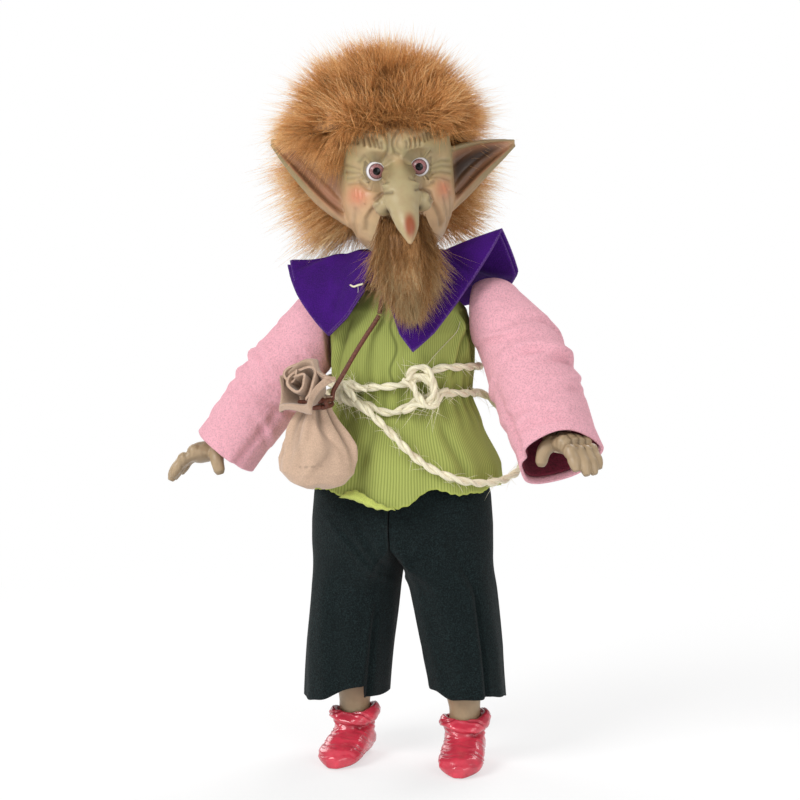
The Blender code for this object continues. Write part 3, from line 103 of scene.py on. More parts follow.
class DollColours(bpy.types.PropertyGroup):
    """Colours of the paint, the fur and the cloths."""

    skin: colour("Skin", "Painted skin of the cheeks", 196, 160, 120)
    brow: colour("Brow", "Greener paint of the brow and the eye hollows", 170, 156, 112)
    nose: colour("Nose", "Paler paint of the nose", 170, 157, 118)
    blush: colour("Blush", "Rouge on the cheeks", 204, 122, 92)
    nose_tip: colour("Nose tip", "Red paint on the end of the nose", 146, 76, 46)
    # creases: dark paint in the skin's creases, also the painted shade in the face's folds, round
    # the eyes, in the ears and on the hands' palm side
    creases: colour("Creases", "Dark paint and painted shade in the creases", 78, 62, 40)
    ear_inside: colour("Ear inside", "Pinker paint inside the ears", 186, 130, 100)
    hand: colour("Hand", "Painted skin of the hands", 170, 146, 114)
    eye_white: colour("Eye white", "White of the glass eyes", 226, 222, 224)
    iris: colour("Iris", "Pink brown of the iris", 158, 112, 112)
    pupil: colour("Pupil", "Pupil", 12, 9, 9)
    fur_root: colour("Fur root", "Fur near the backing", 100, 62, 34)
    fur: colour("Fur", "Ginger of the fur", 222, 158, 92)
    fur_tip: colour("Fur tip", "Paler ends of the fur", 252, 220, 164)
    collar: colour("Collar", "Purple felt of the collar", 58, 10, 106)
    collar_edge: colour("Collar edge", "Pale raw edge of the purple felt", 128, 92, 160)
    vest: colour("Waistcoat", "Green needlecord", 164, 172, 94)
    vest_groove: colour("Waistcoat groove", "Shade between the ribs", 134, 144, 72)
    vest_reverse: colour("Waistcoat reverse", "Lighter reverse of the cloth", 184, 194, 96)
    sleeve: colour("Sleeve", "Pink fleece", 233, 172, 184)
    # lining: the inside of the sleeves, drawn as the pink fleece in painted shade
    lining: colour("Lining shade", "Inside of the sleeves, drawn in painted shade", 112, 26, 48)
    trousers: colour("Trousers", "Dark green felt", 20, 30, 31)
    boots: colour("Boots", "Glossy red of the boots", 214, 60, 80)
    rope: colour("Rope", "Sisal", 242, 234, 204)
    rope_stain: colour("Rope stain", "Browner patches of the sisal", 197, 173, 142)
    thong: colour("Thong", "Brown leather thong", 104, 52, 34)
    pouch: colour("Pouch", "Beige cloth of the pouch", 196, 166, 142)
    body_cloth: colour("Body cloth", "Cloth of the stuffed body", 205, 188, 160)
    wood: colour("Wood", "Neck peg", 190, 150, 104)
    floor: colour("Floor", "Floor", 246, 246, 246)


class DollSizes(bpy.types.PropertyGroup):
    """Sizes that set the grain of the surfaces."""

    rope_diameter: length("Rope", "Diameter of the sisal rope", 0.0038, 0.002, 0.006)
    thong_diameter: length("Thong", "Diameter of the leather thong", 0.0021, 0.001, 0.004)
    rib_pitch: length("Rib pitch", "Distance between ribs of the needlecord", 0.0011, 0.0004)
    cloth: length("Cloth", "Thickness of the waistcoat cloth", 0.001, 0.0005)
    felt: length("Felt", "Thickness of the collar felt", 0.001, 0.0005)
    fleece: length("Fleece", "Thickness of the sleeve fleece", 0.0015, 0.0005)
    hair_width: length("Hair width", "Width of a hair at its root", 0.0003, 0.00005)
    head_voxel: length("Head voxel", "Fineness of the head's skin", 0.0005, 0.0002)
    hand_voxel: length("Hand voxel", "Fineness of the hands' skin", 0.00042, 0.0002)


def colours():
    return bpy.context.scene.doll_colours


def sizes():
    return bpy.context.scene.doll_sizes


# Shapes


def curve(route, count, closed=False):
    """Evenly spaced points on a smooth curve through the route."""
    points = np.asarray(route, float)
    if closed:
        points = np.vstack([points[-1:], points, points[:2]])
    else:
        first = 2 * points[0] - points[1]
        last = 2 * points[-1] - points[-2]
        points = np.vstack([first, points, last])
    t = np.linspace(0, 1, 16, endpoint=False)[:, None]
    made = []
    for a, b, c, d in zip(points, points[1:], points[2:], points[3:]):
        cubic = (2 * a - 5 * b + 4 * c - d) * t**2 + (3 * b - a - 3 * c + d) * t**3
        made.append(0.5 * (2 * b + (c - a) * t + cubic))
    made.append(points[-2][None])
    dense = np.vstack(made)
    run = np.concatenate([[0], np.cumsum(np.linalg.norm(np.diff(dense, axis=0), axis=1))])
    wanted = np.linspace(0, run[-1], count + 1 if closed else count)
    evenly = np.stack([np.interp(wanted, run, dense[:, k]) for k in range(3)], 1)
    return evenly[:-1] if closed else evenly


def path_length(points):
    return float(np.linalg.norm(np.diff(points, axis=0), axis=1).sum())


def unit(vectors):
    return vectors / np.maximum(np.linalg.norm(vectors, axis=-1, keepdims=True), 1e-12)


def crosswise(path, closed=False):
    """Tangents and two directions square to them, carried along the path with no twist."""
    if closed:
        ahead = np.roll(path, -1, 0) - np.roll(path, 1, 0)
    else:
        ahead = np.gradient(path, axis=0)
    ahead = unit(ahead)
    side = np.zeros_like(path)
    start = np.array([0.0, 0.0, 1.0])
    if abs(ahead[0] @ start) > 0.9:
        start = np.array([0.0, 1.0, 0.0])
    side[0] = unit(start - ahead[0] * (start @ ahead[0]))
    for i in range(1, len(path)):
        step = side[i - 1] - ahead[i] * (side[i - 1] @ ahead[i])
        side[i] = unit(step)
    return ahead, side, np.cross(ahead, side)


def turns(count):
    """Angles all round, from 0."""
    return np.linspace(0, math.tau, count, endpoint=False)


def bell(away, width):
    """1 where nothing is away, fading smoothly over the width."""
    return np.exp(-((away / width) ** 2))


def hoops(path, one, other, wide, deep, count):
    """Oval rings round a path, wide along one direction and deep along the other."""
    angle = turns(count)
    rings = path[:, None] + one[:, None] * (wide * np.cos(angle))[..., None]
    return rings + other[:, None] * (deep * np.sin(angle))[..., None]


def tube(path, radii, sides=16, flat=1.0, across=None, ripple=1.0):
    """Rings round a path. across points the flattened way, and ripple scales each ring point."""
    path = np.asarray(path, float)
    ahead, side, other = crosswise(path)
    if across is not None:
        across = np.asarray(across, float)
        side = unit(across - ahead * (ahead @ across)[:, None])
        other = np.cross(ahead, side)
    reach = np.broadcast_to(radii, len(path))[:, None] * ripple
    return hoops(path, other, side, reach, reach * flat, sides)


def globe(rows, columns, gap=0.02):
    """Directions all round, ring by ring from the top, and each ring's angle from the top."""
    angle = np.linspace(gap, math.pi - gap, rows)
    ring, around = np.sin(angle)[:, None], turns(columns)
    level = np.broadcast_to(np.cos(angle)[:, None], (rows, columns))
    return np.stack([ring * np.cos(around), ring * np.sin(around), level], -1), angle


def grid_faces(rows, columns, wrap_rows=False, wrap_columns=True):
    index = np.arange(rows * columns).reshape(rows, columns)
    low = index if wrap_rows else index[:-1]
    high = np.roll(index, -1, 0) if wrap_rows else index[1:]
    if wrap_columns:
        quads = (low, np.roll(low, -1, 1), np.roll(high, -1, 1), high)
    else:
        quads = (low[:, :-1], low[:, 1:], high[:, 1:], high[:, :-1])
    return np.stack(quads, -1).reshape(-1, 4)


class Shape:
    """Points, faces and cloth coordinates, gathered from several parts."""

    def __init__(self):
        self.points, self.faces, self.cloth, self.count = [], [], [], 0

    def add(self, points, faces, cloth=None):
        points = np.asarray(points, float).reshape(-1, 3)
        self.faces += [[int(i) + self.count for i in face] for face in faces]
        self.points.append(points)
        self.cloth.append(np.zeros((len(points), 2)) if cloth is None else cloth)
        self.count += len(points)
        return self

    def rings(self, rings, closed=False, cloth=None):
        """A skin over rings; an open row of rings is capped at both ends."""
        rings = np.asarray(rings, float)
        rows, columns = rings.shape[:2]
        faces = grid_faces(rows, columns, closed).tolist()
        if not closed:
            faces.append(list(range(columns))[::-1])
            faces.append(list(range((rows - 1) * columns, rows * columns)))
        if cloth is None:
            along = np.linalg.norm(np.diff(rings.mean(1), axis=0), axis=1)
            along = np.concatenate([[0], np.cumsum(along)])
            around = np.linspace(0, 1, columns, endpoint=False)
            cloth = np.stack(np.broadcast_arrays(along[:, None], around[None]), -1)
        return self.add(rings, faces, np.asarray(cloth).reshape(-1, 2))

    def tube(self, path, radii, sides=16):
        return self.rings(tube(path, radii, sides))

    def ball(self, centre, radii, rows=16, columns=24):
        return self.rings(np.asarray(centre) + globe(rows, columns)[0] * radii)

    def mesh(self, name):
        mesh = bpy.data.meshes.new(name)
        mesh.from_pydata(np.vstack(self.points).tolist(), [], self.faces)
        layer = mesh.uv_layers.new(name="cloth")
        corner = np.empty(len(mesh.loops), np.int32)
        mesh.loops.foreach_get("vertex_index", corner)
        layer.uv.foreach_set("vector", np.vstack(self.cloth)[corner].ravel().astype(np.float32))
        return mesh


def face_outwards(mesh):
    """Turns the faces of each closed shell outwards."""
    bm = bmesh.new()
    bm.from_mesh(mesh)
    bmesh.ops.recalc_face_normals(bm, faces=bm.faces)
    bm.to_mesh(mesh)
    bm.free()


def remeshed(shape, voxel, smoothing=4):
    """One smooth skin over closed parts that overlap."""
    made = bpy.data.objects.new("remesh", shape.mesh("remesh"))
    bpy.context.scene.collection.objects.link(made)
    face_outwards(made.data)
    remesh = made.modifiers.new("skin", "REMESH")
    remesh.mode = "VOXEL"
    remesh.voxel_size = voxel
    smooth = made.modifiers.new("smooth", "SMOOTH")
    smooth.factor = 0.5
    smooth.iterations = smoothing
    graph = bpy.context.evaluated_depsgraph_get()
    mesh = bpy.data.meshes.new_from_object(made.evaluated_get(graph))
    bpy.data.objects.remove(made, do_unlink=True)
    return mesh


def points_of(mesh, kind="co"):
    found = np.empty(len(mesh.vertices) * 3, np.float32)
    mesh.vertices.foreach_get(kind, found)
    return found.reshape(-1, 3).astype(float)


def move_points(mesh, points):
    mesh.vertices.foreach_set("co", points.astype(np.float32).ravel())
    mesh.update()


def mark(mesh, name, values):
    """Keeps one number at each point for the material to read."""
    layer = mesh.attributes.new(name, "FLOAT", "POINT")
    layer.data.foreach_set("value", np.asarray(values, np.float32).clip(-100, 100))


def at_head(points):
    """Points given in the head's own frame, moved to where the head stands."""
    matrix = np.array(HEAD_MATRIX)
    return points @ matrix[:3, :3].T + matrix[:3, 3]


def step(low, high, value):
    t = np.clip((value - low) / (high - low), 0, 1)
    return t * t * (3 - 2 * t)


def rough(points, scale, seed=0):
    """A smooth wandering number at each point, between about -1 and 1."""
    rng = np.random.default_rng(seed)
    total = np.zeros(len(points))
    for _ in range(6):
        way = unit(rng.normal(size=3))
        total += np.sin(points @ way * scale * rng.uniform(0.7, 1.5) + rng.uniform(0, math.tau))
    return total / 3.2


def show(name, mesh, finish, body, slot, *nodes, outwards=True):
    """Puts a piece in the scene on its body, in its finish, in place of the part's nodes."""
    if outwards:
        face_outwards(mesh)
    mesh.name = name
    mesh.shade_smooth()
    mesh.materials.clear()
    mesh.materials.append(finish)
    made = bpy.data.objects.new(name, mesh)
    bpy.context.scene.collection.objects.link(made)
    if isinstance(body, str):
        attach(made, body)
    else:
        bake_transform(made)
    if nodes:
        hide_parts(*nodes)
    return made


def hairs(roots, ways, lengths, widths, droop, curl, seed, steps=4):
    """Tapered three-sided hairs that end in a point, each a closed shell."""
    rng = np.random.default_rng(seed)
    count = len(roots)
    ways = unit(ways)
    bend = unit(rng.normal(size=(count, 3)))
    bend = unit(bend - ways * (bend * ways).sum(1, keepdims=True))
    t = np.linspace(0, 1, steps + 1)
    lengths = np.broadcast_to(lengths, (count,))[:, None, None]
    middle = roots[:, None] + ways[:, None] * (lengths * t[None, :, None])
    swing = np.asarray(droop, float)
    swing = np.broadcast_to(swing, (count, 3))[:, None] * (t[None, :, None] ** 2)
    middle = middle + lengths * (swing + bend[:, None] * (curl * t[None, :, None] ** 1.7))
    side = unit(np.cross(ways, bend + ways * 0.3))
    other = np.cross(ways, side)
    widths = np.broadcast_to(widths, (count,))
    thick = widths[:, None] * (1 - t[None, :-1]) ** 0.6 * 0.58
    rings = []
    for k in range(3):
        angle = math.tau * k / 3
        turn = side * math.cos(angle) + other * math.sin(angle)
        rings.append(middle[:, :-1] + turn[:, None] * thick[..., None])
    rings = np.stack(rings, 2)
    points = np.concatenate([rings.reshape(count, -1, 3), middle[:, -1:]], 1)
    each = []
    for i in range(steps - 1):
        for k in range(3):
            a, b = i * 3 + k, i * 3 + (k + 1) % 3
            each += [(a, b, b + 3), (a, b + 3, a + 3)]
    last = (steps - 1) * 3
    each += [(last + k, last + (k + 1) % 3, steps * 3) for k in range(3)] + [(2, 1, 0)]
    faces = np.array(each)[None] + (np.arange(count) * (steps * 3 + 1))[:, None, None]
    return points.reshape(-1, 3), faces.reshape(-1, 3)


def hair_mesh(name, groups):
    """One mesh from several groups of hairs, written as arrays because they are many."""
    points, faces, start = [], [], 0
    for group_points, group_faces in groups:
        points.append(group_points)
        faces.append(group_faces + start)
        start += len(group_points)
    points, faces = np.vstack(points), np.vstack(faces).astype(np.int32)
    mesh = bpy.data.meshes.new(name)
    mesh.vertices.add(len(points))
    mesh.vertices.foreach_set("co", points.astype(np.float32).ravel())
    mesh.loops.add(faces.size)
    mesh.loops.foreach_set("vertex_index", faces.ravel())
    mesh.polygons.add(len(faces))
    mesh.polygons.foreach_set("loop_start", np.arange(0, faces.size, 3, dtype=np.int32))
    mesh.update(calc_edges=True)
    mesh.validate()
    return mesh


# Finishes


def maths(operation, turned=False):
    """An operator between a reading and a value, which adds its Math node."""

    def work(self, other):
        return self.sum(operation, *((other, self) if turned else (self, other)))

    return work


class Reading:
    """A number in a material's nodes; an expression on it adds its Math nodes."""

    def __init__(self, finish, socket):
        self.finish = finish
        self.socket = socket

    def sum(self, operation, *values):
        node = self.finish.node("ShaderNodeMath", {"operation": operation}, dict(enumerate(values)))
        return Reading(self.finish, node.outputs[0])

    __add__ = __radd__ = maths("ADD")
    __mul__ = __rmul__ = maths("MULTIPLY")
    __sub__, __rsub__ = maths("SUBTRACT"), maths("SUBTRACT", True)
    __truediv__, __rtruediv__ = maths("DIVIDE"), maths("DIVIDE", True)
    least, most = maths("MINIMUM"), maths("MAXIMUM")

    def sine(self):
        return self.sum("SINE", self)

    def step(self, low, high):
        node = self.finish.node(
            "ShaderNodeMapRange",
            {"interpolation_type": "SMOOTHSTEP"},
            {"Value": self, "From Min": low, "From Max": high},
        )
        return Reading(self.finish, node.outputs["Result"])


class Nodes:
    """A tree of nodes, and the one way in which they are added to it."""

    def __init__(self, tree):
        self.tree = tree

    def put(self, socket, value):
        if isinstance(value, Reading):
            value = value.socket
        if isinstance(value, bpy.types.NodeSocket):
            self.tree.links.new(value, socket)
        elif socket.type == "RGBA":
            socket.default_value = (*tuple(value)[:3], 1.0)
        else:
            socket.default_value = value

    def node(self, kind, settings=None, sockets=None):
        """Adds a node: its settings first, a ramp's stops among them, then its sockets."""
        node = self.tree.nodes.new(kind)
        for label, value in (settings or {}).items():
            if label == "stops":
                elements = node.color_ramp.elements
                while len(elements) > 1:
                    elements.remove(elements[-1])
                for i, (at, shade) in enumerate(value):
                    element = elements.new(at) if i else elements[0]
                    element.position = at
                    element.color = (*tuple(shade)[:3], 1.0)
            else:
                setattr(node, label, value)
        for label, value in (sockets or {}).items():
            self.put(node.inputs[label], value)
        return node


class Finish(Nodes):
    """A material built from nodes round one Principled shader."""

    def __init__(self, name, shader):
        self.material = bpy.data.materials.new(name)
        self.material.use_nodes = True
        super().__init__(self.material.node_tree)
        self.shader = self.tree.nodes["Principled BSDF"]
        for label, value in shader.items():
            self.set(label, value)
        self.place = self.node("ShaderNodeTexCoord").outputs["Object"]

    def set(self, label, value):
        self.put(self.shader.inputs[label], value)

    def colour(self, value):
        self.set("Base Color", value)

    def noise(self, scale, detail=2.0, roughness=0.5, stretch=None, place=None):
        sockets = {"Vector": place or self.place, "Scale": scale}
        if stretch:
            mapped = {"Vector": sockets["Vector"], "Scale": stretch}
            sockets["Vector"] = self.node("ShaderNodeMapping", None, mapped).outputs[0]
        sockets.update({"Detail": detail, "Roughness": roughness})
        return Reading(self, self.node("ShaderNodeTexNoise", None, sockets).outputs["Fac"])

    def read(self, name):
        """A number kept at each point of the mesh."""
        node = self.node("ShaderNodeAttribute", {"attribute_name": name})
        return Reading(self, node.outputs["Fac"])

    def cloth(self):
        """The cloth's own two coordinates, and the first of them as a number."""
        place = self.node("ShaderNodeUVMap", {"uv_map": "cloth"}).outputs[0]
        parts = self.node("ShaderNodeSeparateXYZ", None, {0: place})
        return place, Reading(self, parts.outputs[0])

    def vector(self, operation, *values):
        node = self.node("ShaderNodeVectorMath", {"operation": operation}, dict(enumerate(values)))
        return node.outputs["Value" if operation == "LENGTH" else "Vector"]

    def mix(self, share, first, second):
        settings = {"data_type": "RGBA", "blend_type": "MIX"}
        return self.node("ShaderNodeMix", settings, {0: share, 6: first, 7: second}).outputs[2]

    def ramp(self, value, stops):
        return self.node("ShaderNodeValToRGB", {"stops": stops}, {0: value}).outputs[0]

    def bump(self, height, distance, strength=1.0):
        sockets = {"Height": height, "Distance": distance, "Strength": strength}
        self.set("Normal", self.node("ShaderNodeBump", None, sockets).outputs[0])


def shade(tint, factor):
    return tuple(channel * factor for channel in tuple(tint)[:3])


def painted_face():
    """Satin paint: olive brow, pinker cheeks, pale nose, rouge, red tip, dark paint in the creases
    that is partly painted shade, and near-black painted shade in the left ear's hollow and the
    nostrils.
    """
    c = colours()
    f = Finish(
        "painted face",
        {"Roughness": 0.42, "Coat Weight": 0.06, "Coat Roughness": 0.3, "Specular IOR Level": 0.4},
    )
    base = f.mix(f.read("olive"), c.skin, c.brow)
    base = f.mix(f.read("ear"), base, c.ear_inside)
    base = f.mix(f.read("pale"), base, c.nose)
    mottle = f.noise(260, 4)
    base = f.mix(mottle.step(0.35, 0.75) * 0.28, base, shade(c.skin, 0.62))
    base = f.mix(f.read("blush") * (0.75 + f.noise(400, 3) * 0.5), base, c.blush)
    base = f.mix(f.read("tip"), base, c.nose_tip)
    # Dark paint in the creases, and painted shade in the creases, folds, eye rims and ear hollows
    base = f.mix(f.read("wash"), base, c.creases)
    # Near-black painted shade inside the left ear and the nostrils
    base = f.mix(f.read("deep"), base, shade(c.ear_inside, 0.06))
    f.colour(base)
    f.set("Roughness", 0.36 + f.noise(700, 3) * 0.16)
    f.bump(f.noise(1500, 3) * 0.6 + f.noise(350, 2), 0.00012, 0.5)
    return f.material


def painted_hand():
    c = colours()
    f = Finish("painted hand", {"Roughness": 0.45, "Coat Weight": 0.1, "Coat Roughness": 0.3})
    mottle = f.noise(300, 4)
    base = f.mix(mottle.step(0.3, 0.75) * 0.35, c.hand, shade(c.hand, 0.66))
    # Painted shade between the knuckles, in the finger creases and on the palm side
    base = f.mix(f.read("wash"), base, c.creases)
    f.colour(base)
    f.bump(f.noise(1500, 3), 0.0001, 0.5)
    return f.material


def glass_eye():
    """A white with a streaked iris and a pupil, set out by the angle from the gaze, and a painted
    shadow on the white next to the lids.
    """
    c = colours()
    f = Finish(
        "glass eye",
        {"Roughness": 0.06, "Coat Weight": 0.2, "Coat Roughness": 0.02, "Specular IOR Level": 0.15},
    )
    angle = f.read("gaze")
    streak = f.noise(2600, 3)
    iris = f.mix(streak.step(0.35, 0.7), shade(c.iris, 0.55), shade(c.iris, 1.2))
    iris = f.mix(angle.step(0.6, 0.7), iris, shade(c.iris, 0.1))
    base = f.mix(angle.step(0.7, 0.76), iris, c.eye_white)
    # Painted shadow on the white where it meets the lids
    base = f.mix(angle.step(0.94, 1.06), base, shade(c.eye_white, 0.35))
    base = f.mix(angle.step(0.31, 0.35), c.pupil, base)
    f.colour(base)
    return f.material


# The middle that each fur pales away from, how far its roots and ends are, and its shade
FURS = {
    "ginger fur": (SKULL_CENTRE, 0.030, 0.054, 1.0),
    "underfur": (SKULL_CENTRE, 0.036, 0.070, 0.9),
    "lock fur": ((0.0, 0.0, 0.050), 0.014, 0.055, 1.0),
    "beard fur": ((0.0, -0.014, 0.026), 0.004, 0.060, 0.52),
}


def fur_finish(name):
    """Fur that pales from its roots to its ends, each lock with a tone of its own."""
    c = colours()
    centre, root_reach, tip_reach, tint = FURS[name]
    f = Finish(name, {"Roughness": 0.5, "Specular IOR Level": 0.4})
    from_centre = f.vector("SUBTRACT", f.place, tuple(HEAD_MATRIX @ Vector(centre)))
    reach = Reading(f, f.vector("LENGTH", from_centre))
    way = f.vector("NORMALIZE", from_centre)
    lock = f.noise(7, 3, place=way)
    hair = f.noise(110, 2, place=way)
    along = ((reach - root_reach) / (tip_reach - root_reach)).most(0).least(1)
    tone = along * 0.62 + (lock - 0.5) * 1.1 + (hair - 0.5) * 1.3 + 0.20
    stops = (
        (0.0, shade(c.fur_root, tint)),
        (0.28, shade(c.fur, 0.62 * tint)),
        (0.58, shade(c.fur, 1.05 * tint)),
        (0.98, shade(c.fur_tip, tint)),
    )
    f.colour(f.ramp(tone, stops))
    return f.material


def napped(name, shader, tint, nap, patch, heights, bump, wash=None):
    """Cloth with a fine nap over broad patches, and painted shade in the folds where they are
    marked.

    The nap is a noise, the range of its step, and a dark and a pale shade of the tint. The patches
    are a noise, the range of its step, how much they cover and their shade.
    """
    f = Finish(name, shader)
    grain, low, high, dark, pale = nap
    nap = f.noise(*grain)
    base = f.mix(nap.step(low, high), shade(tint, dark), shade(tint, pale))
    grain, low, high, share, tone = patch
    patch = f.noise(*grain)
    base = f.mix(patch.step(low, high) * share, base, shade(tint, tone))
    # Painted shade in the marked folds
    if wash:
        base = f.mix(f.read("wash"), base, shade(tint, wash))
    f.colour(base)
    f.bump(nap * heights[0] + patch * heights[1], *bump)
    return f, base


def grained(name, shader, tint, grain, tones, bump, **how):
    """Cloth, leather or wood with one fine grain between a dark and a pale shade."""
    f = Finish(name, shader)
    grain = f.noise(*grain, **how)
    low, high, dark, pale = tones
    f.colour(f.mix(grain.step(low, high), shade(tint, dark), shade(tint, pale)))
    f.bump(grain, *bump)
    return f.material


def purple_felt():
    c = colours()
    f, base = napped(
        "purple felt",
        {"Roughness": 0.9, "Sheen Weight": 0.06, "Sheen Tint": c.collar, "Specular IOR Level": 0.2},
        c.collar,
        ((2200, 3), 0.35, 0.7, 0.60, 1.20),
        ((90, 3), 0.4, 0.75, 0.4, 1.45),
        (1.0, 0.5),
        (0.0003, 0.7),
    )
    rim = f.read("edge") * 0.75 + (f.noise(1800, 2) - 0.5) * 1.3
    f.colour(f.mix(rim.step(0.40, 0.95) * 0.5, base, c.collar_edge))
    return f.material


def needlecord():
    """Green cloth with fine upright ribs."""
    c, s = colours(), sizes()
    f = Finish("green needlecord", {"Roughness": 0.9, "Specular IOR Level": 0.25})
    across = f.cloth()[1]
    wander = f.noise(60, 2) * 0.0012
    rib = ((across + wander) * (math.tau / s.rib_pitch)).sine() * 0.5 + 0.5
    weave = f.noise(3000, 2)
    patch = f.noise(45, 3)
    tone = rib.step(0.0, 0.8) * (0.7 + weave * 0.6)
    base = f.mix(tone, c.vest_groove, c.vest)
    base = f.mix(patch.step(0.35, 0.8) * 0.35, base, shade(c.vest, 0.74))
    base = f.mix(f.read("edge") * 0.8, base, c.vest_reverse)
    # Painted shade in the waistcoat's folds, gathers and beside its front edge
    base = f.mix(f.read("wash"), base, shade(c.vest_groove, 0.35))
    f.colour(base)
    f.bump(rib + weave * 0.8, 0.00016, 0.5)
    return f.material


def vest_reverse():
    shader = {"Roughness": 0.9, "Sheen Weight": 0.1}
    tones = (0.3, 0.7, 0.8, 1.1)
    tint = colours().vest_reverse
    return grained("green reverse", shader, tint, (2400, 3), tones, (0.0002, 0.6))


def fleece(name, tint, dark=0.80):
    """Brushed fleece: a nap of fine curls over soft lumps."""
    return napped(
        name,
        {"Roughness": 0.95, "Sheen Weight": 0.12, "Sheen Tint": tint},
        tint,
        ((1300, 4, 0.72), 0.34, 0.58, dark, 1.06),
        ((360, 4, 0.6), 0.52, 0.74, 0.35, dark),
        (0.7, 1.3),
        (0.0009, 0.8),
    )[0].material


def dark_felt():
    return napped(
        "dark felt",
        {"Roughness": 1.0, "Sheen Weight": 0.05, "Specular IOR Level": 0.15},
        colours().trousers,
        ((1700, 4, 0.65), 0.40, 0.68, 0.45, 2.0),
        ((60, 3), 0.4, 0.7, 0.3, 0.7),
        (1.0, 1.0),
        (0.0006, 0.8),
    )[0].material


def red_vinyl():
    c = colours()
    f = Finish("red vinyl", {"Roughness": 0.28, "Coat Weight": 0.6, "Coat Roughness": 0.12})
    patch = f.noise(120, 3)
    base = f.mix(patch.step(0.35, 0.75), shade(c.boots, 0.8), shade(c.boots, 1.1))
    # Painted shade in the boot's creases, under the cuff's roll and inside the shaft
    f.colour(f.mix(f.read("wash"), base, shade(c.boots, 0.25)))
    f.bump(f.noise(900, 3), 0.00012, 0.5)
    return f.material


def sisal():
    """Cream plant fibres that run along each strand."""
    c = colours()
    f = Finish("sisal", {"Roughness": 0.75, "Sheen Weight": 0.1})
    fibres = f.noise(1.0, 3, 0.6, (180, 26, 1), f.cloth()[0])
    patch = f.noise(140, 3)
    base = f.mix(fibres.step(0.25, 0.6), shade(c.rope, 0.62), shade(c.rope, 1.06))
    f.colour(f.mix(patch.step(0.52, 0.8) * 0.6, base, c.rope_stain))
    f.bump(fibres, 0.0003, 0.8)
    return f.material


def leather():
    tones = (0.35, 0.7, 0.6, 1.25)
    tint = colours().thong
    return grained("brown leather", {"Roughness": 0.6}, tint, (1400, 3), tones, (0.0002, 0.7))


def pouch_cloth():
    return napped(
        "beige cloth",
        {"Roughness": 0.9, "Sheen Weight": 0.3, "Sheen Roughness": 0.5},
        colours().pouch,
        ((1900, 3), 0.3, 0.7, 0.86, 1.08),
        ((120, 3), 0.45, 0.8, 0.3, 0.72),
        (0.6, 1.0),
        (0.0003, 0.6),
        # How dark the painted shade in the folds is; the seam's stitches are darkened with it
        0.3,
    )[0].material


def body_cloth():
    c = colours()
    f = Finish("body cloth", {"Roughness": 0.9})
    weave = f.noise(2200, 3)
    f.colour(f.mix(weave, shade(c.body_cloth, 0.8), shade(c.body_cloth, 1.05)))
    f.bump(weave, 0.0002, 0.5)
    return f.material


def turned_wood():
    tones, shader = (0.3, 0.7, 0.7, 1.1), {"Roughness": 0.55}
    tint, stretch = colours().wood, (1, 1, 0.08)
    bump = (0.0001, 0.5)
    return grained("turned wood", shader, tint, (400, 4), tones, bump, stretch=stretch)


FINISHES = {}


def finish(make, *values):
    """The material that a function makes, made once."""
    key = (make.__name__, *map(str, values[:1]))
    if key not in FINISHES:
        FINISHES[key] = make(*values)
    return FINISHES[key]


# Head, in its own frame


# Height, half width, and depth of the face and of the nape
HEAD_ROWS = MM * np.array((
    (0, 11.5, 15, 8), (2.2, 15.5, 21.5, 12), (7, 19.8, 24.2, 17), (15, 23.6, 25, 22),
    (24, 25.8, 25, 26), (34, 25.8, 23.6, 28), (43, 25.8, 25.6, 30), (53, 25, 23.8, 30),
    (61.5, 20.6, 18, 25.2), (67.5, 13.9, 10.5, 18), (71, 4.6, 3, 7.2),
))
# The nose from the brow down: its middle, half width and half depth
NOSE_ROWS = MM * np.array((
    (0, -20.5, 41, 3.6, 3.6), (0, -25, 35, 4.3, 4.1), (0, -29, 29.2, 5.8, 4.8),
    (0, -31.8, 24.5, 8.4, 5.6), (0.2, -35, 20.5, 8.8, 6.2), (0.6, -38.8, 16.8, 7.6, 6.2),
    (1, -41.8, 13.2, 6.5, 5.8), (1.3, -44, 10, 5.9, 5.2), (1.4, -45.2, 7.6, 5, 4.4),
    (1.4, -46, 5.8, 3.2, 3), (1.4, -46.3, 5, 0.8, 0.8),
))
NOSTRILS = ((-5.2, 19.6), (6.2, 20.2))
EYE_RADIUS = 0.0052
LID_OPENING = math.radians(62)
EYES = {"right": (-0.0101, 0.0375), "left": (0.0092, 0.0382)}


def row_values(rows, heights):
    rows = np.asarray(rows, float)
    return [np.interp(heights, rows[:, 0], rows[:, k]) for k in range(1, rows.shape[1])]


def head_skin(heights, count):
    wide, face, nape = (v[:, None] for v in row_values(HEAD_ROWS, heights))
    angle = turns(count)[None]
    x = wide * np.cos(angle)
    y = np.where(np.sin(angle) > 0, nape, face) * np.sin(angle)
    z = np.broadcast_to(np.asarray(heights)[:, None], x.shape)
    side = np.abs(x)

    def swell(at_x, at_z, wide, tall):
        return np.exp(-(((side - at_x) / wide) ** 2) - ((z - at_z) / tall) ** 2)

    relief = 0.0026 * swell(0.0105, 0.048, 0.0085, 0.0034)
    relief += 0.0028 * swell(0.0165, 0.0262, 0.006, 0.0056)
    relief += 0.0012 * swell(0.0, 0.005, 0.007, 0.005)
    relief -= 0.0034 * swell(0.0098, 0.0385, 0.0064, 0.0052)
    relief -= 0.0012 * swell(0.0, 0.044, 0.003, 0.006)
    y = y - np.where(np.sin(angle) < 0, relief * np.minimum(1.0, -np.sin(angle) * 1.6), 0)
    return np.stack([x, y, z], -1)


def eye_place(side):
    """Middle of an eyeball, a little behind the skin."""
    x, z = EYES[side]
    return np.array([x, -0.0168, z])


